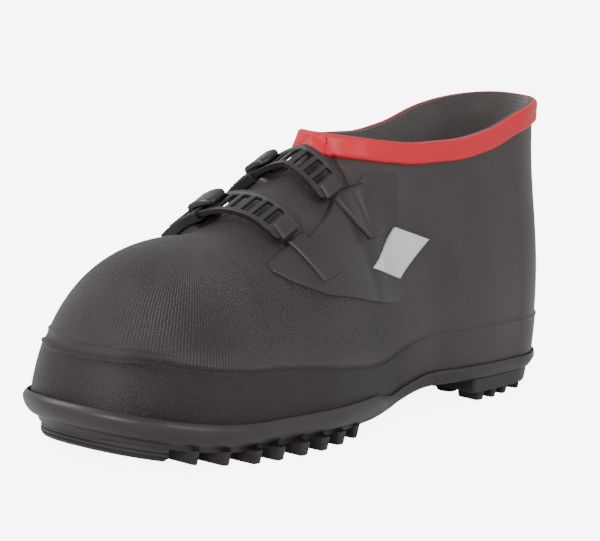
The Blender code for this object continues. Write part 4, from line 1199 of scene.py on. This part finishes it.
middle = from_toe((LABEL_FRONT + LABEL_REAR) / 2 + 0.0030)
side = (LABEL_LATERAL + LABEL_MEDIAL) / 2
forms = []
for digit in DIGITS:
    path = [(middle + up * DIGIT_TALL, side + right * DIGIT_TALL) for right, up in digit]
    forms.append(raised_line(stroke(path, DIGIT_LINE), LABEL_PROUD))
corners = [
    (from_toe(LABEL_FRONT), LABEL_LATERAL), (from_toe(LABEL_FRONT), LABEL_MEDIAL),
    (from_toe(LABEL_REAR), LABEL_MEDIAL), (from_toe(LABEL_REAR), LABEL_LATERAL),
]
for k in range(4):
    a, b = np.array(corners[k]), np.array(corners[(k + 1) % 4])
    reach = (b - a) / np.linalg.norm(b - a) * LABEL_LINE / 2
    forms.append(raised_line(stroke([a - reach, b + reach], LABEL_LINE), LABEL_PROUD))
points, faces = gather(forms)
mesh_object(
    ("waist_label", "outsole", "tread_rubber"), points, faces, [LABEL_RED], None, TREAD_ANGLE
)

ring = FINE.outline(-0.0060)
near = ring[np.abs(ring[:, 0] - from_toe(FOREFOOT_END)) < 0.004]
across = np.linspace(near[:, 1].min(), near[:, 1].max(), 24)
edge_line = stroke([(from_toe(FOREFOOT_END), y) for y in across], FOREFOOT_END_LINE)
mesh_object(
    ("forefoot_edge", "outsole", "tread_rubber"), *raised_line(edge_line, FOREFOOT_END_PROUD),
    [TREAD_RUBBER_SHADED], None, TREAD_ANGLE,
)


# Heel.
# A block below the rear of the plate, with its own lugs, chevron, kidney pad and a pad round the
# back.

# The heel, distances in millimetres forward from its hindmost point.
HEEL_STEP = (77.0, 83.0)
HEEL_LUGS = (
    (1, 64.4, 73.0, 28.0, 66.0, 73.0, 41.5), (1, 53.3, 60.2, 28.0, 55.0, 60.2, 41.5),
    (1, 40.5, 47.4, 27.0, 42.0, 47.4, 39.5), (-1, 61.8, 69.7, 22.0, 61.8, 67.5, 39.0),
    (-1, 48.5, 57.0, 22.0, 48.5, 55.0, 39.0), (-1, 35.1, 44.2, 22.0, 36.0, 43.0, 37.0),
)
HEEL_BOSSES = (
    (65.0, 14.6, 0), (40.7, 12.2, 0), (69.4, -2.8, 1), (44.4, -3.4, 1), (67.4, -18.6, 0),
    (43.9, -17.6, 0),
)
HEEL_LUG_STUDS = ((62.8, 27.5), (39.6, 27.0), (67.1, -33.3), (43.6, -32.6))
HEEL_CHEVRON = (49.6, 56.5, 54.3, 63.4, 18.0, 24.0)
HEEL_KIDNEY = ((26.4, -9), (35.6, -8), (35.6, 16), (26.4, 17), (24.8, 4))
HEEL_WAVE = ((26.5, -33), (31.5, -18.5), (22.0, -9.5), (20.5, 4), (22.5, 17.0), (35.0, 23.5))


def from_heel(distance):
    """A distance forward from the heel's hindmost point, as a place along X."""
    return distance - LENGTH / 2


def flat(level):
    """The height of a level face, for any place along X."""
    return lambda x: np.full(np.shape(x), level)


ring = FINE.outline(-0.0012)
rear = ring[ring[:, 0] < from_heel(HEEL_STEP[0] * 0.001) - 0.001]
medial, lateral = rear[:8, 1].max(), rear[-8:, 1].min()
plan = [tuple(p) for p in rear[::2]] + [
    (from_heel(HEEL_STEP[0] * 0.001), lateral), (from_heel(HEEL_STEP[1] * 0.001), medial)
]
forms = [block(plan, flat(LUG_HEIGHT), flat(HEEL_BLOCK_HEIGHT), 0.0012, 1, 0.0008, 0.0008)]
ground, root = flat(0.0), flat(LUG_HEIGHT + TREAD_ROOT)
for side, *row in HEEL_LUGS:
    forms.append(block(lug_plan(side, row, from_heel), ground, root))
forms.append(block(chevron_plan(HEEL_CHEVRON, from_heel), ground, root, 0.0010))
kidney = [(from_heel(a * 0.001), b * 0.001) for a, b in HEEL_KIDNEY]
forms.append(block(kidney, ground, root, 0.0030, 5))
ring = FINE.outline(-0.0040)
back = [tuple(p) for p in ring[ring[:, 0] < from_heel(0.0285)][::2]]
if back[0][1] < back[-1][1]:
    back.reverse()
wave = [(from_heel(a * 0.001), b * 0.001) for a, b in HEEL_WAVE]
pad = np.concatenate([back, between(wave, len(back))])
forms.append(block(pad, ground, root, 0.0010, 1))
for d, y, _ in HEEL_BOSSES:
    place = (from_heel(d * 0.001), -y * 0.001)
    forms.append(boss_form(place, BOSS_SHY, LUG_HEIGHT + TREAD_ROOT))
points, faces = gather(forms)
mesh_object(
    ("heel_tread", "heel", "tread_rubber"), points, faces, [TREAD_RUBBER_SHADED], None, TREAD_ANGLE
)


# Studs.
# Steel pins pressed into the bosses and lugs: a collar, a waisted shank and a small hard tip.

STEEL, tree, shader, where = new_material("stud_steel")
shader["Metallic"].default_value = 1.0
wear = noise_node(tree, where, 700.0, 3.0)
colour = ramp_node(tree, wear, (0.36, 0.34, 0.32), (0.78, 0.78, 0.76), 0.35, 0.65)
tree.links.new(colour, shader["Base Color"])
turning = noise_node(tree, where, 1500.0)
tree.links.new(math_node(tree, "MULTIPLY_ADD", turning, 0.3, 0.18), shader["Roughness"])


def stud_form(centre, tip, top):
    """A stud's turned profile from its hidden head down to the tip."""
    r = STUD_RADIUS
    profile = (
        (r, top), (r, tip + 0.0012), (r * 0.96, tip + 0.0009), (r * 0.80, tip + 0.0006),
        (r * 0.50, tip + 0.0005), (r * 0.48, tip + 0.0001), (r * 0.40, tip),
    )
    return turned(centre, profile, 24)


number = 0
for table, place in (
    (BOSSES, from_toe), (HEEL_BOSSES, from_heel), (LUG_STUDS, from_toe), (HEEL_LUG_STUDS, from_heel)
):
    for row in table:
        in_boss = len(row) == 3
        if in_boss and not row[2]:
            continue
        number += 1
        x = place(row[0] * 0.001)
        lift = float(spring(x)) if in_boss and place is from_toe else 0.0
        top = lift + STUD_POCKET - 0.0003 + (BOSS_SHY if in_boss else 0.0)
        points, faces = stud_form((x, -row[1] * 0.001), lift + STUD_TIP, top)
        names = (f"ice_stud_{number}", f"stud_{number}", "stud_steel")
        mesh_object(names, points, faces, [STEEL], None, 30)


# Footbed.
# A thin felt sheet lying on the plate, its edge cut to the inside of the wall.

FELT, tree, shader, where = new_material("footbed_felt")
shader["Roughness"].default_value = 0.95
shader["Sheen Weight"].default_value = 0.3
fibres = noise_node(tree, where, 1100.0, 5.0, 0.7)
colour = ramp_node(tree, fibres, (0.022, 0.021, 0.020), (0.075, 0.070, 0.066))
tree.links.new(colour, shader["Base Color"])
tree.links.new(bump_node(tree, fibres, 0.0003), shader["Normal"])

# The sheet's edge: how far in from the clearance, and how far up from the seat.
FELT_CLEAR = 0.0012
FELT_EDGE = (
    (0.0004, 0.0004), (0.0, 0.0010), (0.0, 0.0022), (0.0006, 0.0028), (0.0016, 0.0029),
)


def build_footbed(lines):
    """The sheet: a ring section with a rounded edge, carried round the outline, and its faces."""
    z = seat(lines.axis + lines.dx * lines.foot)
    rings = []
    for inward, up in FELT_EDGE:
        rings.append(np.column_stack([lines.outline(-(WALL + FELT_CLEAR + inward)), z + up]))
    edge = np.swapaxes(np.stack(rings), 0, 1)
    above = cross_field(edge[:, -1], lambda x: seat(x) + FELT_EDGE[-1][1], 24)
    below = cross_field(edge[:, 0], lambda x: seat(x) + FELT_EDGE[0][1], 8)
    points = np.concatenate([edge.reshape(-1, 3), above.reshape(-1, 3), below.reshape(-1, 3)])
    faces = [
        grid_faces(*edge.shape[:2], True),
        grid_faces(*above.shape[:2], False) + edge[..., 0].size,
        grid_faces(*below.shape[:2], False)[:, ::-1] + edge[..., 0].size + above[..., 0].size,
    ]
    names = ("footbed", "insole", "footbed_felt")
    mesh_object(names, points, np.concatenate(faces), [FELT], None, 50)


build_footbed(FINE)


# Collar binding.
# A band of red rubber laid round the outside of the collar, flush with the wall's top, its ends
# lapped on the inner side of the front.

BINDING_TALL = 0.0105
BINDING_THICK = 0.0013
BINDING_GAP = 0.0010
BINDING_SUNK = 0.0003
BINDING_STEPS = 10
LAP_AT = 0.0052
LAP_PROUD = 0.00035
LAP_GROOVE = 0.0004

# Its lighter red patches are painted highlights, standing for the band's mottled sheen.
RED_RUBBER = rubber_material(
    "red_rubber", (0.42, 0.001, 0.009), (0.46, 0.018, 0.030),
    dust_and_highlight_amount=0.14, gloss=0.36, grain=0.00009,
)


def tree_of(made):
    """A tree for casting rays at one object."""
    points = [v.co.copy() for v in made.data.vertices]
    return BVHTree.FromPolygons(points, [tuple(f.vertices) for f in made.data.polygons])


def walk_down(lines, tree, tall, steps):
    """Rows of points down the outside of the wall from the rim: each step aims below and outside
    the last point and looks back at the wall."""
    rim = lines.points(np.array([1.0]))[:, 0]
    keep = lines.rim > 1e-6
    front = int(np.where(~keep & np.roll(keep, 1) | ~keep & np.roll(keep, -1))[0][0])
    ids = [i for i in range(lines.count) if keep[i] or i == front]
    ids.sort(key=lambda i: (i < front, i))
    path = rim[ids]
    tangent = np.roll(path, -1, axis=0) - np.roll(path, 1, axis=0)
    out = np.column_stack([tangent[:, 1], -tangent[:, 0], 0 * tangent[:, 0]])
    out /= np.linalg.norm(out, axis=1, keepdims=True)
    out *= np.sign(np.sum(out * (path - path.mean(axis=0)), axis=1).sum())
    rows, here = [path], path
    for _ in range(steps):
        there = []
        for p, o in zip(here, out):
            aim = Vector(p) + Vector(o) * 0.02 + Vector((0, 0, -tall / steps))
            hit = tree.ray_cast(aim, Vector(-o))[0]
            there.append(tuple(hit) if hit is not None else tuple(tree.find_nearest(aim)[0]))
        here = np.array(there)
        rows.append(here)
    return np.stack(rows, axis=1)[:, ::-1], out


def build_band(lines, shell):
    """The band: the walked rows set off the wall, with rounded edges. Its two ends lap at the
    front: past the lap the outer face stands a little prouder, and a groove runs down the lap
    itself."""
    grid, out = walk_down(lines, tree_of(shell), BINDING_TALL, BINDING_STEPS)
    n = np.cross(np.roll(grid, -1, axis=0) - np.roll(grid, 1, axis=0), np.gradient(grid, axis=1))
    n /= np.maximum(np.linalg.norm(n, axis=-1, keepdims=True), 1e-12)
    n *= np.sign(np.sum(n * out[:, None], axis=-1, keepdims=True))
    n[..., 2] = np.clip(n[..., 2], 0, 0.5)
    for _ in range(6):
        n = n + np.roll(n, 1, axis=0) + np.roll(n, -1, axis=0)
        n /= np.linalg.norm(n, axis=-1, keepdims=True)
    step = np.linalg.norm(np.roll(grid[:, -1], -1, axis=0) - grid[:, -1], axis=1)
    along = np.concatenate([[0], np.cumsum(step)])
    lap = LAP_AT if grid[3, -1, 1] > 0 else along[-1] - LAP_AT
    at = np.linspace(0, along[-1], 420, endpoint=False)
    at = np.unique(np.concatenate([at, lap + np.linspace(-0.0016, 0.0016, 17)]))

    def resampled(values):
        """The rows of values at the places at."""
        closed = np.concatenate([values, values[:1]]).reshape(len(along), -1)
        found = [np.interp(at, along, closed[:, k]) for k in range(closed.shape[1])]
        return np.stack(found, axis=1).reshape(len(at), *values.shape[1:])

    grid, n = resampled(grid), resampled(n)
    down = np.linspace(1, 0, grid.shape[1])
    edge = np.clip((np.abs(down - 0.5) - 0.40) / 0.10, 0, 1)
    body = BINDING_GAP + BINDING_THICK * np.sqrt(1 - 0.97 * edge**2)
    past = np.sign(along[-1] / 2 - lap) * (lap - at)
    lapped = LAP_PROUD * ease(0.0, 0.0004, past) * (1 - ease(0.010, 0.045, past))
    groove = LAP_GROOVE * np.exp(-((past / 0.00035) ** 2))
    far = grid + n * (body[None, :, None] + (lapped - groove)[:, None, None])
    near = grid - n * BINDING_SUNK
    near[:, -1, 2] = far[:, -1, 2] = grid[:, -1, 2] + 0.0002
    section = np.concatenate([near, far[:, ::-1]], axis=1)
    count, rows = section.shape[:2]
    i = np.arange(count)
    j = (i + 1) % count
    close = np.stack([i * rows + rows - 1, j * rows + rows - 1, j * rows, i * rows], axis=1)
    faces = np.concatenate([grid_faces(count, rows, True), close])
    names = ("red_band", "collar_binding", "red_binding")
    mesh_object(names, section.reshape(-1, 3), faces, [RED_RUBBER], None, 60)


build_band(FINE, shell)


# Saddle panels and strap tabs.
# A smooth reinforcing panel is moulded on each side of the instep, and thicker tabs on it hold
# the straps. The panels thin out to nothing towards the heel.

# Overlays, drawn on the wall as seen from the side: (x, z) along each long edge, x as a share of
# LENGTH and z as a share of INSTEP_HEIGHT.
SADDLE_HIGH = (
    (0.1965, 0.6051), (0.1792, 0.6256), (0.1329, 0.6667), (0.1026, 0.6857),
    (0.0341, 0.7714), (0.0197, 0.7985),
    (-0.0260, 0.8396), (-0.0434, 0.8681), (-0.0636, 0.8689), (-0.2139, 0.8689),
)
SADDLE_LOW = (
    (0.1936, 0.5861), (0.1734, 0.5560), (0.1526, 0.5363), (0.1188, 0.5070),
    (0.0847, 0.4938), (0.0549, 0.4799),
    (0.0173, 0.4615), (-0.0289, 0.4432), (-0.0925, 0.4286), (-0.1618, 0.4249),
)
FRONT_TAB = ((0.1416, 0.6681), (0.1208, 0.5407)), ((0.1127, 0.6894), (0.0812, 0.5714))
REAR_TAB = ((0.0237, 0.7927), (-0.0101, 0.6557)), ((-0.0312, 0.8403), (-0.0503, 0.6747))
REFLECTOR = ((-0.0789, 0.6835), (-0.0009, 0.5641)), ((-0.1451, 0.6318), (-0.0671, 0.5124))

SADDLE_COLUMNS = 70
SADDLE_THICK = 0.0010
TAB_OFF = 0.0016
TAB_THICK = 0.0013


def on_side(tree, sign, x, z):
    """The point and outward normal of the wall at (x, z), seen square from one side."""
    hit, normal, _, _ = tree.ray_cast(Vector((x, sign * LENGTH, z)), Vector((0, -sign, 0)))
    if hit is None:
        raise RuntimeError(f"no wall at x={x:.4f} z={z:.4f}")
    if normal.y * sign < 0:
        normal = -normal
    return np.array(hit), np.array(normal)


def curve_through(edge, count):
    """Evenly spaced points on a smooth line through an edge's points (x, z)."""
    edge = rounded_section(np.asarray(edge, float), 8)
    length = np.concatenate([[0], np.cumsum(np.linalg.norm(np.diff(edge, axis=0), axis=1))])
    at = np.linspace(0, length[-1], count)
    return np.column_stack([np.interp(at, length, edge[:, k]) for k in (0, 1)])


def placed(edge):
    """The points of an edge, from shares to metres."""
    return [(x * LENGTH, z * INSTEP_HEIGHT) for x, z in edge]


def straight(edge, first, count):
    """Evenly spaced points on a straight edge of shares, from the share first to its end."""
    start, end = np.array(placed(edge))
    return start + np.linspace(first, 1, count)[:, None] * (end - start)


def build_sheet(names, tree, sign, low, high, rows, off, thick, edge, finish):
    """A moulded sheet on the wall between two edges seen from the side. Its outer face stands off
    by off + thick, and rolls down to the wall within the distance edge of its border; off and
    thick may vary along its length."""
    low, high = np.asarray(low), np.asarray(high)
    columns = len(low)
    t = np.linspace(0, 1, rows)
    plan = low[:, None] * (1 - t)[None, :, None] + high[:, None] * t[None, :, None]
    points, facing = np.zeros((columns, rows, 3)), np.zeros((columns, rows, 3))
    for i in range(columns):
        for j in range(rows):
            points[i, j], facing[i, j] = on_side(tree, sign, *plan[i, j])
    for _ in range(6):
        wide = np.pad(facing, ((1, 1), (1, 1), (0, 0)), mode="edge")
        facing = wide[1:-1, 1:-1] * 2 + wide[:-2, 1:-1] + wide[2:, 1:-1]
        facing = facing + wide[1:-1, :-2] + wide[1:-1, 2:]
        facing /= np.linalg.norm(facing, axis=-1, keepdims=True)
    across = np.linalg.norm(np.diff(points, axis=1), axis=-1).cumsum(axis=1)
    across = np.concatenate([np.zeros((columns, 1)), across], axis=1)
    along = np.linalg.norm(np.diff(points, axis=0), axis=-1).cumsum(axis=0)
    along = np.concatenate([np.zeros((1, rows)), along], axis=0)
    border = np.minimum(
        np.minimum(across, across[:, -1:] - across), np.minimum(along, along[-1:] - along)
    )
    roll = np.sqrt(np.clip(1 - (1 - np.clip(border / edge, 0, 1)) ** 2, 0, 1))
    body = np.broadcast_to(np.asarray(thick, float).reshape(-1, 1), border.shape)
    off = np.asarray(off, float).reshape(-1, 1)
    under = np.broadcast_to(np.minimum(off * 0.25, off - 0.0002), border.shape)
    near = points + facing * under[..., None]
    far = points + facing * (off + body * (0.12 + 0.88 * roll))[..., None]
    size = columns * rows
    faces = [grid_faces(columns, rows, False), grid_faces(columns, rows, False)[:, ::-1] + size]
    ids = np.arange(size).reshape(columns, rows)
    rim = np.concatenate([ids[:, 0], ids[-1, 1:], ids[-2::-1, -1], ids[0, -2:0:-1]])
    after = np.roll(rim, -1)
    faces.append(np.stack([rim, after, after + size, rim + size], axis=1))
    points = np.concatenate([near.reshape(-1, 3), far.reshape(-1, 3)])
    mesh_object(names, points, np.concatenate(faces), [finish], None, 60)


SADDLE_RUBBER = rubber_material(
    "saddle_rubber", (0.0165, 0.0125, 0.0130), (0.056, 0.046, 0.046),
    dust_and_highlight_amount=0.14, gloss=0.34, grain=0.00005,
)
shell_tree = tree_of(shell)
for side, sign in (("medial", 1), ("lateral", -1)):
    low, high = (curve_through(placed(edge), SADDLE_COLUMNS) for edge in (SADDLE_LOW, SADDLE_HIGH))
    along = np.linspace(0, 1, SADDLE_COLUMNS)
    thick = SADDLE_THICK * (1 - 0.92 * ease(0.35, 0.80, along))
    stand = 0.0004 - 0.0011 * ease(0.55, 0.98, along)
    names = (f"panel_{side}", f"saddle_{side}", "black_rubber")
    build_sheet(names, shell_tree, sign, low, high, 36, stand, thick, 0.0012, SADDLE_RUBBER)
    for name, (fore, aft) in (("front", FRONT_TAB), ("rear", REAR_TAB)):
        first = 0.0 if sign > 0 else 0.5
        names = (f"strap_tab_{name}_{side}", f"tab_{name}_{side}", "black_rubber")
        build_sheet(
            names, shell_tree, sign, straight(fore, first, 26), straight(aft, first, 26), 20,
            TAB_OFF, TAB_THICK, 0.0010, SADDLE_RUBBER,
        )


# Reflective patches.
# A light grey retroreflective sheet glued on each side behind the rear strap.

PATCH_OFF = 0.0016
PATCH_THICK = 0.0006

GREY_SHEET, tree, shader, where = new_material("reflective_sheet")
shader["Metallic"].default_value = 0.15
cells = tree.nodes.new("ShaderNodeTexVoronoi")
cells.inputs["Scale"].default_value = 900.0
tree.links.new(where, cells.inputs["Vector"])
tint = noise_node(tree, where, 90.0, 4.0)
colour = ramp_node(tree, tint, (0.50, 0.50, 0.51), (0.40, 0.40, 0.41))
tree.links.new(colour, shader["Base Color"])
dull = math_node(tree, "MULTIPLY_ADD", cells.outputs["Distance"], 0.3, 0.35)
tree.links.new(dull, shader["Roughness"])
tree.links.new(bump_node(tree, cells.outputs["Distance"], 0.00005), shader["Normal"])
for side, sign in (("medial", 1), ("lateral", -1)):
    high, low = (straight(edge, 0, 24) for edge in REFLECTOR)
    names = (f"patch_{side}", f"reflector_{side}", "reflective_patch")
    build_sheet(
        names, shell_tree, sign, high, low, 22, PATCH_OFF, PATCH_THICK, 0.0005, GREY_SHEET
    )


# Straps.
# Two slotted ladder straps of black plastic arch over the instep from a capped end on the inner
# side to a buckle sleeve and a folded lever on the outer side.

# A strap: where it crosses the instep (share of LENGTH), how its width slopes forward (degrees),
# the turn of its cap, its free end, its buckle's two ends and the start of the pad under the
# buckle about the instep's axis (degrees, medial is positive), and how far its free end stands
# off the wall.
STRAP_KEYS = ("x", "slope", "cap", "end", "buckle_from", "buckle_to", "keeper", "end_off")
FRONT_STRAP = dict(zip(STRAP_KEYS, (0.1416, 24.0, 44.0, -46.0, -30.0, -62.0, -34.0, 0.0060)))
REAR_STRAP = dict(zip(STRAP_KEYS, (0.0335, 24.0, 44.0, -46.0, -30.0, -62.0, -16.0, 0.0056)))
ARCH_DEPTH = 0.032
STRAP_HALF = 0.0095
STRAP_THICK = 0.0022
STRAP_SLOTS = 6
SLOT_SHARE = 0.62

# Along the strap, as a share of its length from the cap: how wide it is, as a share of STRAP_HALF,
# and how thick, as a share of STRAP_THICK. Then the thickness of its six columns across.
TAPER = (
    (0, 0.62), (0.015, 0.80), (0.035, 0.92), (0.065, 0.99), (0.105, 1), (0.93, 1), (0.97, 0.97),
    (1, 0.86),
)
SWELL = ((0, 0.7), (0.02, 1.1), (0.05, 1.25), (0.12, 1.25), (0.145, 1.0), (1, 1.0))
RAISED = (1.25, 1.25, 0.85, 0.85, 1.25, 1.25)
SLOTS_FROM, SLOTS_TO = 0.14, 0.84
RAIL = 0.0028
CAP_OFF = 0.0044
ARCH_OFF = 0.0054
BUCKLE_LOW, BUCKLE_HIGH = -0.0016, STRAP_THICK + 0.0016
BEVEL_FROM = 32


def arch(tree, at, turns, off):
    """Points off the instep at the given turns, and the outward directions there."""
    x = at["x"] * LENGTH
    top = tree.ray_cast(Vector((x, 0.0001, 3 * INSTEP_HEIGHT)), Vector((0, 0, -1)))[0]
    axis = np.array([x, 0.0, top.z - ARCH_DEPTH])
    made = []
    for turn, away in zip(np.radians(turns), off):
        facing = np.array([0.0, math.sin(turn), math.cos(turn)])
        hit = tree.ray_cast(Vector(axis + facing * 2 * INSTEP_HEIGHT), Vector(-facing))[0]
        made.append(np.array(hit) + facing * away)
    return np.array(made)


def frame_along(path, slope):
    """The across and outward directions of a strip that follows the path."""
    s = math.radians(slope)
    across = np.tile((math.cos(s), 0.0, -math.sin(s)), (len(path), 1))
    tangent = np.gradient(path, axis=0)
    up = np.cross(across, tangent)
    up /= np.linalg.norm(up, axis=1, keepdims=True)
    up *= np.sign(up[:, 2:3].sum())
    return across, up


def strap_off(turn, at):
    """How far the strap stands off the instep at a turn: low at the cap, highest past the top."""
    t = (at["cap"] - np.asarray(turn, float)) / (at["cap"] - at["end"])
    return smooth((0, 0.12, 0.55, 1.0), (CAP_OFF, CAP_OFF + 0.0008, ARCH_OFF, at["end_off"]), t)


PLASTIC = rubber_material(
    "strap_plastic", (0.0115, 0.0098, 0.0100), (0.050, 0.044, 0.043),
    dust_and_highlight_amount=0.12, gloss=0.26, grain=0.00004,
)


def fastening(names, form, finish, width, segments=3):
    """A piece of the fastening, its sharp edges rounded by a live bevel."""
    step = mesh_object(names, *form, [finish], None, 30).modifiers.new("softened", "BEVEL")
    step.width, step.segments = width, segments
    step.limit_method = "ANGLE"
    step.angle_limit = math.radians(BEVEL_FROM)


def build_ladder(name, tree, at):
    """The slotted strap on a grid of stations along it and six columns across: raised rails at
    both sides, thinner rungs between the slots, a thick rounded cap at one end."""
    share, kind = [0.0, 0.015, 0.035, 0.065, 0.105, SLOTS_FROM], ["cap"] * 5
    pitch = (SLOTS_TO - SLOTS_FROM) / STRAP_SLOTS
    for i in range(STRAP_SLOTS):
        share += [SLOTS_FROM + pitch * (i + SLOT_SHARE), SLOTS_FROM + pitch * (i + 1)]
        kind += ["slot", "rung"]
    share += [0.88, 0.92, 0.96, 1.0]
    kind += ["tip"] * 4
    share = np.array(share)
    turns = at["cap"] + (at["end"] - at["cap"]) * share
    path = arch(tree, at, turns, strap_off(turns, at))
    across, up = frame_along(path, at["slope"])
    half = STRAP_HALF * np.interp(share, *zip(*TAPER))
    rail = RAIL / STRAP_HALF
    out, inner = 1 - rail * 0.85, 1 - rail * 1.15
    columns = np.array([-1, -out, -inner, inner, out, 1])
    wide = half[:, None] * columns[None]
    cap = np.interp(share, *zip(*SWELL))[:, None]
    thick = STRAP_THICK * np.where(cap > 1.02, cap, cap * np.array(RAISED))
    low = path[:, None] + across[:, None] * wide[..., None]
    high = low + up[:, None] * thick[..., None]
    count, across_n = wide.shape
    size = count * across_n
    cells = [(i, j) for i in range(count - 1) for j in range(across_n - 1)]
    solid = {(i, j) for i, j in cells if j != 2 or kind[i] != "slot"}
    faces = []
    for i, j in sorted(solid):
        a, b = i * across_n + j, (i + 1) * across_n + j
        c, d = b + 1, a + 1
        faces += [(a, b, c, d), (size + d, size + c, size + b, size + a)]
        sides = {(0, -1): (a, b), (0, 1): (c, d), (-1, 0): (d, a), (1, 0): (b, c)}
        for (di, dj), (p, q) in sides.items():
            if (i + di, j + dj) not in solid:
                faces.append((q, p, size + p, size + q))
    points = np.concatenate([low.reshape(-1, 3), high.reshape(-1, 3)])
    names = (f"slotted_strap_{name}", f"ladder_{name}", "strap_plastic")
    fastening(names, (points, faces), PLASTIC, 0.00035)


def swept_form(path, across, up, section):
    """Points and faces of a closed section of (across, up) offsets carried along a path."""
    section = np.asarray(section, float)
    points = (
        path[:, None]
        + across[:, None] * section[None, :, :1]
        + up[:, None] * section[None, :, 1:]
    )
    count, size = points.shape[:2]
    return points.reshape(-1, 3), ring_faces(count, size), count, size


def sleeve(outer, inner):
    """Two swept forms of the same size, one inside the other, joined at both ends."""
    points, faces, count, size = outer
    hole = inner[0]
    start = len(points)
    faces = faces + [[start + i for i in face] for face in inner[1]]
    for base in (0, (count - 1) * size):
        for i in range(size):
            j = (i + 1) % size
            faces.append([base + i, base + j, start + base + j, start + base + i])
    return np.concatenate([points, hole]), faces


def rounded_box(half, low, high, r):
    """A rectangle of (across, up) with its corners cut at 45 degrees."""
    return [
        (-half + r, low), (half - r, low), (half, low + r), (half, high - r), (half - r, high),
        (-half + r, high), (-half, high - r), (-half, low + r),
    ]


def build_loop(name, tree, at):
    """The rubber loop that holds the strap's capped end."""
    turns = np.linspace(at["cap"] + 2.5, at["cap"] - 10, 12)
    path = arch(tree, at, turns, strap_off(np.minimum(turns, at["cap"]), at))
    half, high = STRAP_HALF * 0.66, STRAP_THICK + 0.0020
    section = [
        (-half + 0.0010, -0.0013), (half - 0.0010, -0.0013), (half, -0.0004),
        (half, high - 0.0012), (half - 0.0012, high), (0.0, high + 0.0002),
        (-half + 0.0012, high), (-half, high - 0.0012), (-half, -0.0004),
    ]
    form = capped(swept_form(path, *frame_along(path, at["slope"]), section))
    names = (f"tab_loop_{name}", f"ladder_{name}", "black_rubber")
    fastening(names, form, SADDLE_RUBBER, 0.0007)


def build_pad(name, tree, at):
    """The rubber pad that fills the space between the wall and the buckle."""
    turns = np.linspace(at["keeper"], at["buckle_to"] - 3, 20)
    path = arch(tree, at, turns, np.full(20, -0.0006))
    across, up = frame_along(path, at["slope"])
    tall = strap_off(np.maximum(turns, at["end"]), at) - 0.0011
    tall *= np.interp(turns, (turns[-1], turns[-1] + 5, turns[0] - 7, turns[0]), (0.5, 1, 1, 0.15))
    half = STRAP_HALF * 0.86
    section = [
        (-half - 0.0012, 0.0), (half + 0.0012, 0.0), (half + 0.0004, 0.6), (half - 0.0006, 0.95),
        (half - 0.0016, 1.0), (-half + 0.0016, 1.0), (-half + 0.0006, 0.95), (-half - 0.0004, 0.6),
    ]
    points, faces = capped(swept_form(path, across, up * tall[:, None], section))
    names = (f"buckle_pad_{name}", f"tab_{name}_lateral", "black_rubber")
    mesh_object(names, points, faces, [SADDLE_RUBBER], None, 40)


def build_buckle(name, tree, at):
    """The sleeve that the strap runs through, with ribs across its outer face."""
    turns = np.linspace(at["buckle_from"], at["buckle_to"], 15)
    path = arch(tree, at, turns, strap_off(np.maximum(turns, at["end"]), at))
    across, up = frame_along(path, at["slope"])
    wide, clear = STRAP_HALF + 0.0018, STRAP_HALF + 0.0006
    outer = rounded_box(wide, BUCKLE_LOW, BUCKLE_HIGH, 0.0006)
    inner = rounded_box(clear, BUCKLE_LOW + 0.0011, BUCKLE_HIGH - 0.0011, 0.0003)
    forms = [sleeve(swept_form(path, across, up, outer), swept_form(path, across, up, inner))]
    rib = rounded_box(wide * 0.78, BUCKLE_HIGH - 0.0002, BUCKLE_HIGH + 0.0005, 0.0002)
    step = np.gradient(path, axis=0)
    for i in range(3, 12, 2):
        ends = path[i] + step[i] * np.array([[-0.22], [0.22]])
        forms.append(capped(swept_form(ends, across[[i, i]], up[[i, i]], rib)))
    names = (f"buckle_sleeve_{name}", f"buckle_{name}", "strap_plastic")
    fastening(names, gather(forms), PLASTIC, 0.0002, 2)


def build_lever(name, tree, at):
    """The folded lever on the buckle, narrower towards both ends."""
    turns = np.linspace(at["buckle_from"] + 9, at["buckle_to"] + 20, 15)
    drop = (BUCKLE_HIGH + 0.0003, STRAP_THICK + 0.0007)
    rest = np.interp(turns, (at["buckle_from"], at["buckle_from"] + 9), drop)
    path = arch(tree, at, turns, strap_off(np.maximum(turns, at["end"]), at) + rest)
    across, up = frame_along(path, at["slope"])
    half = STRAP_HALF * 0.74
    section = [
        (-half + 0.0006, 0.0), (half - 0.0006, 0.0), (half, 0.0008), (half * 0.94, 0.0024),
        (half * 0.80, 0.0031), (0.0, 0.0029), (-half * 0.80, 0.0031), (-half * 0.94, 0.0024),
        (-half, 0.0008),
    ]
    rounding = np.sqrt(np.clip(1 - np.linspace(-1, 1, 15) ** 8, 0.3, 1))[:, None]
    form = capped(swept_form(path, across * rounding, up * rounding, section))
    names = (f"folded_lever_{name}", f"lever_{name}", "strap_plastic")
    fastening(names, form, PLASTIC, 0.0004)


for name, at in (("front", FRONT_STRAP), ("rear", REAR_STRAP)):
    for build in (build_ladder, build_loop, build_pad, build_buckle, build_lever):
        build(name, shell_tree, at)
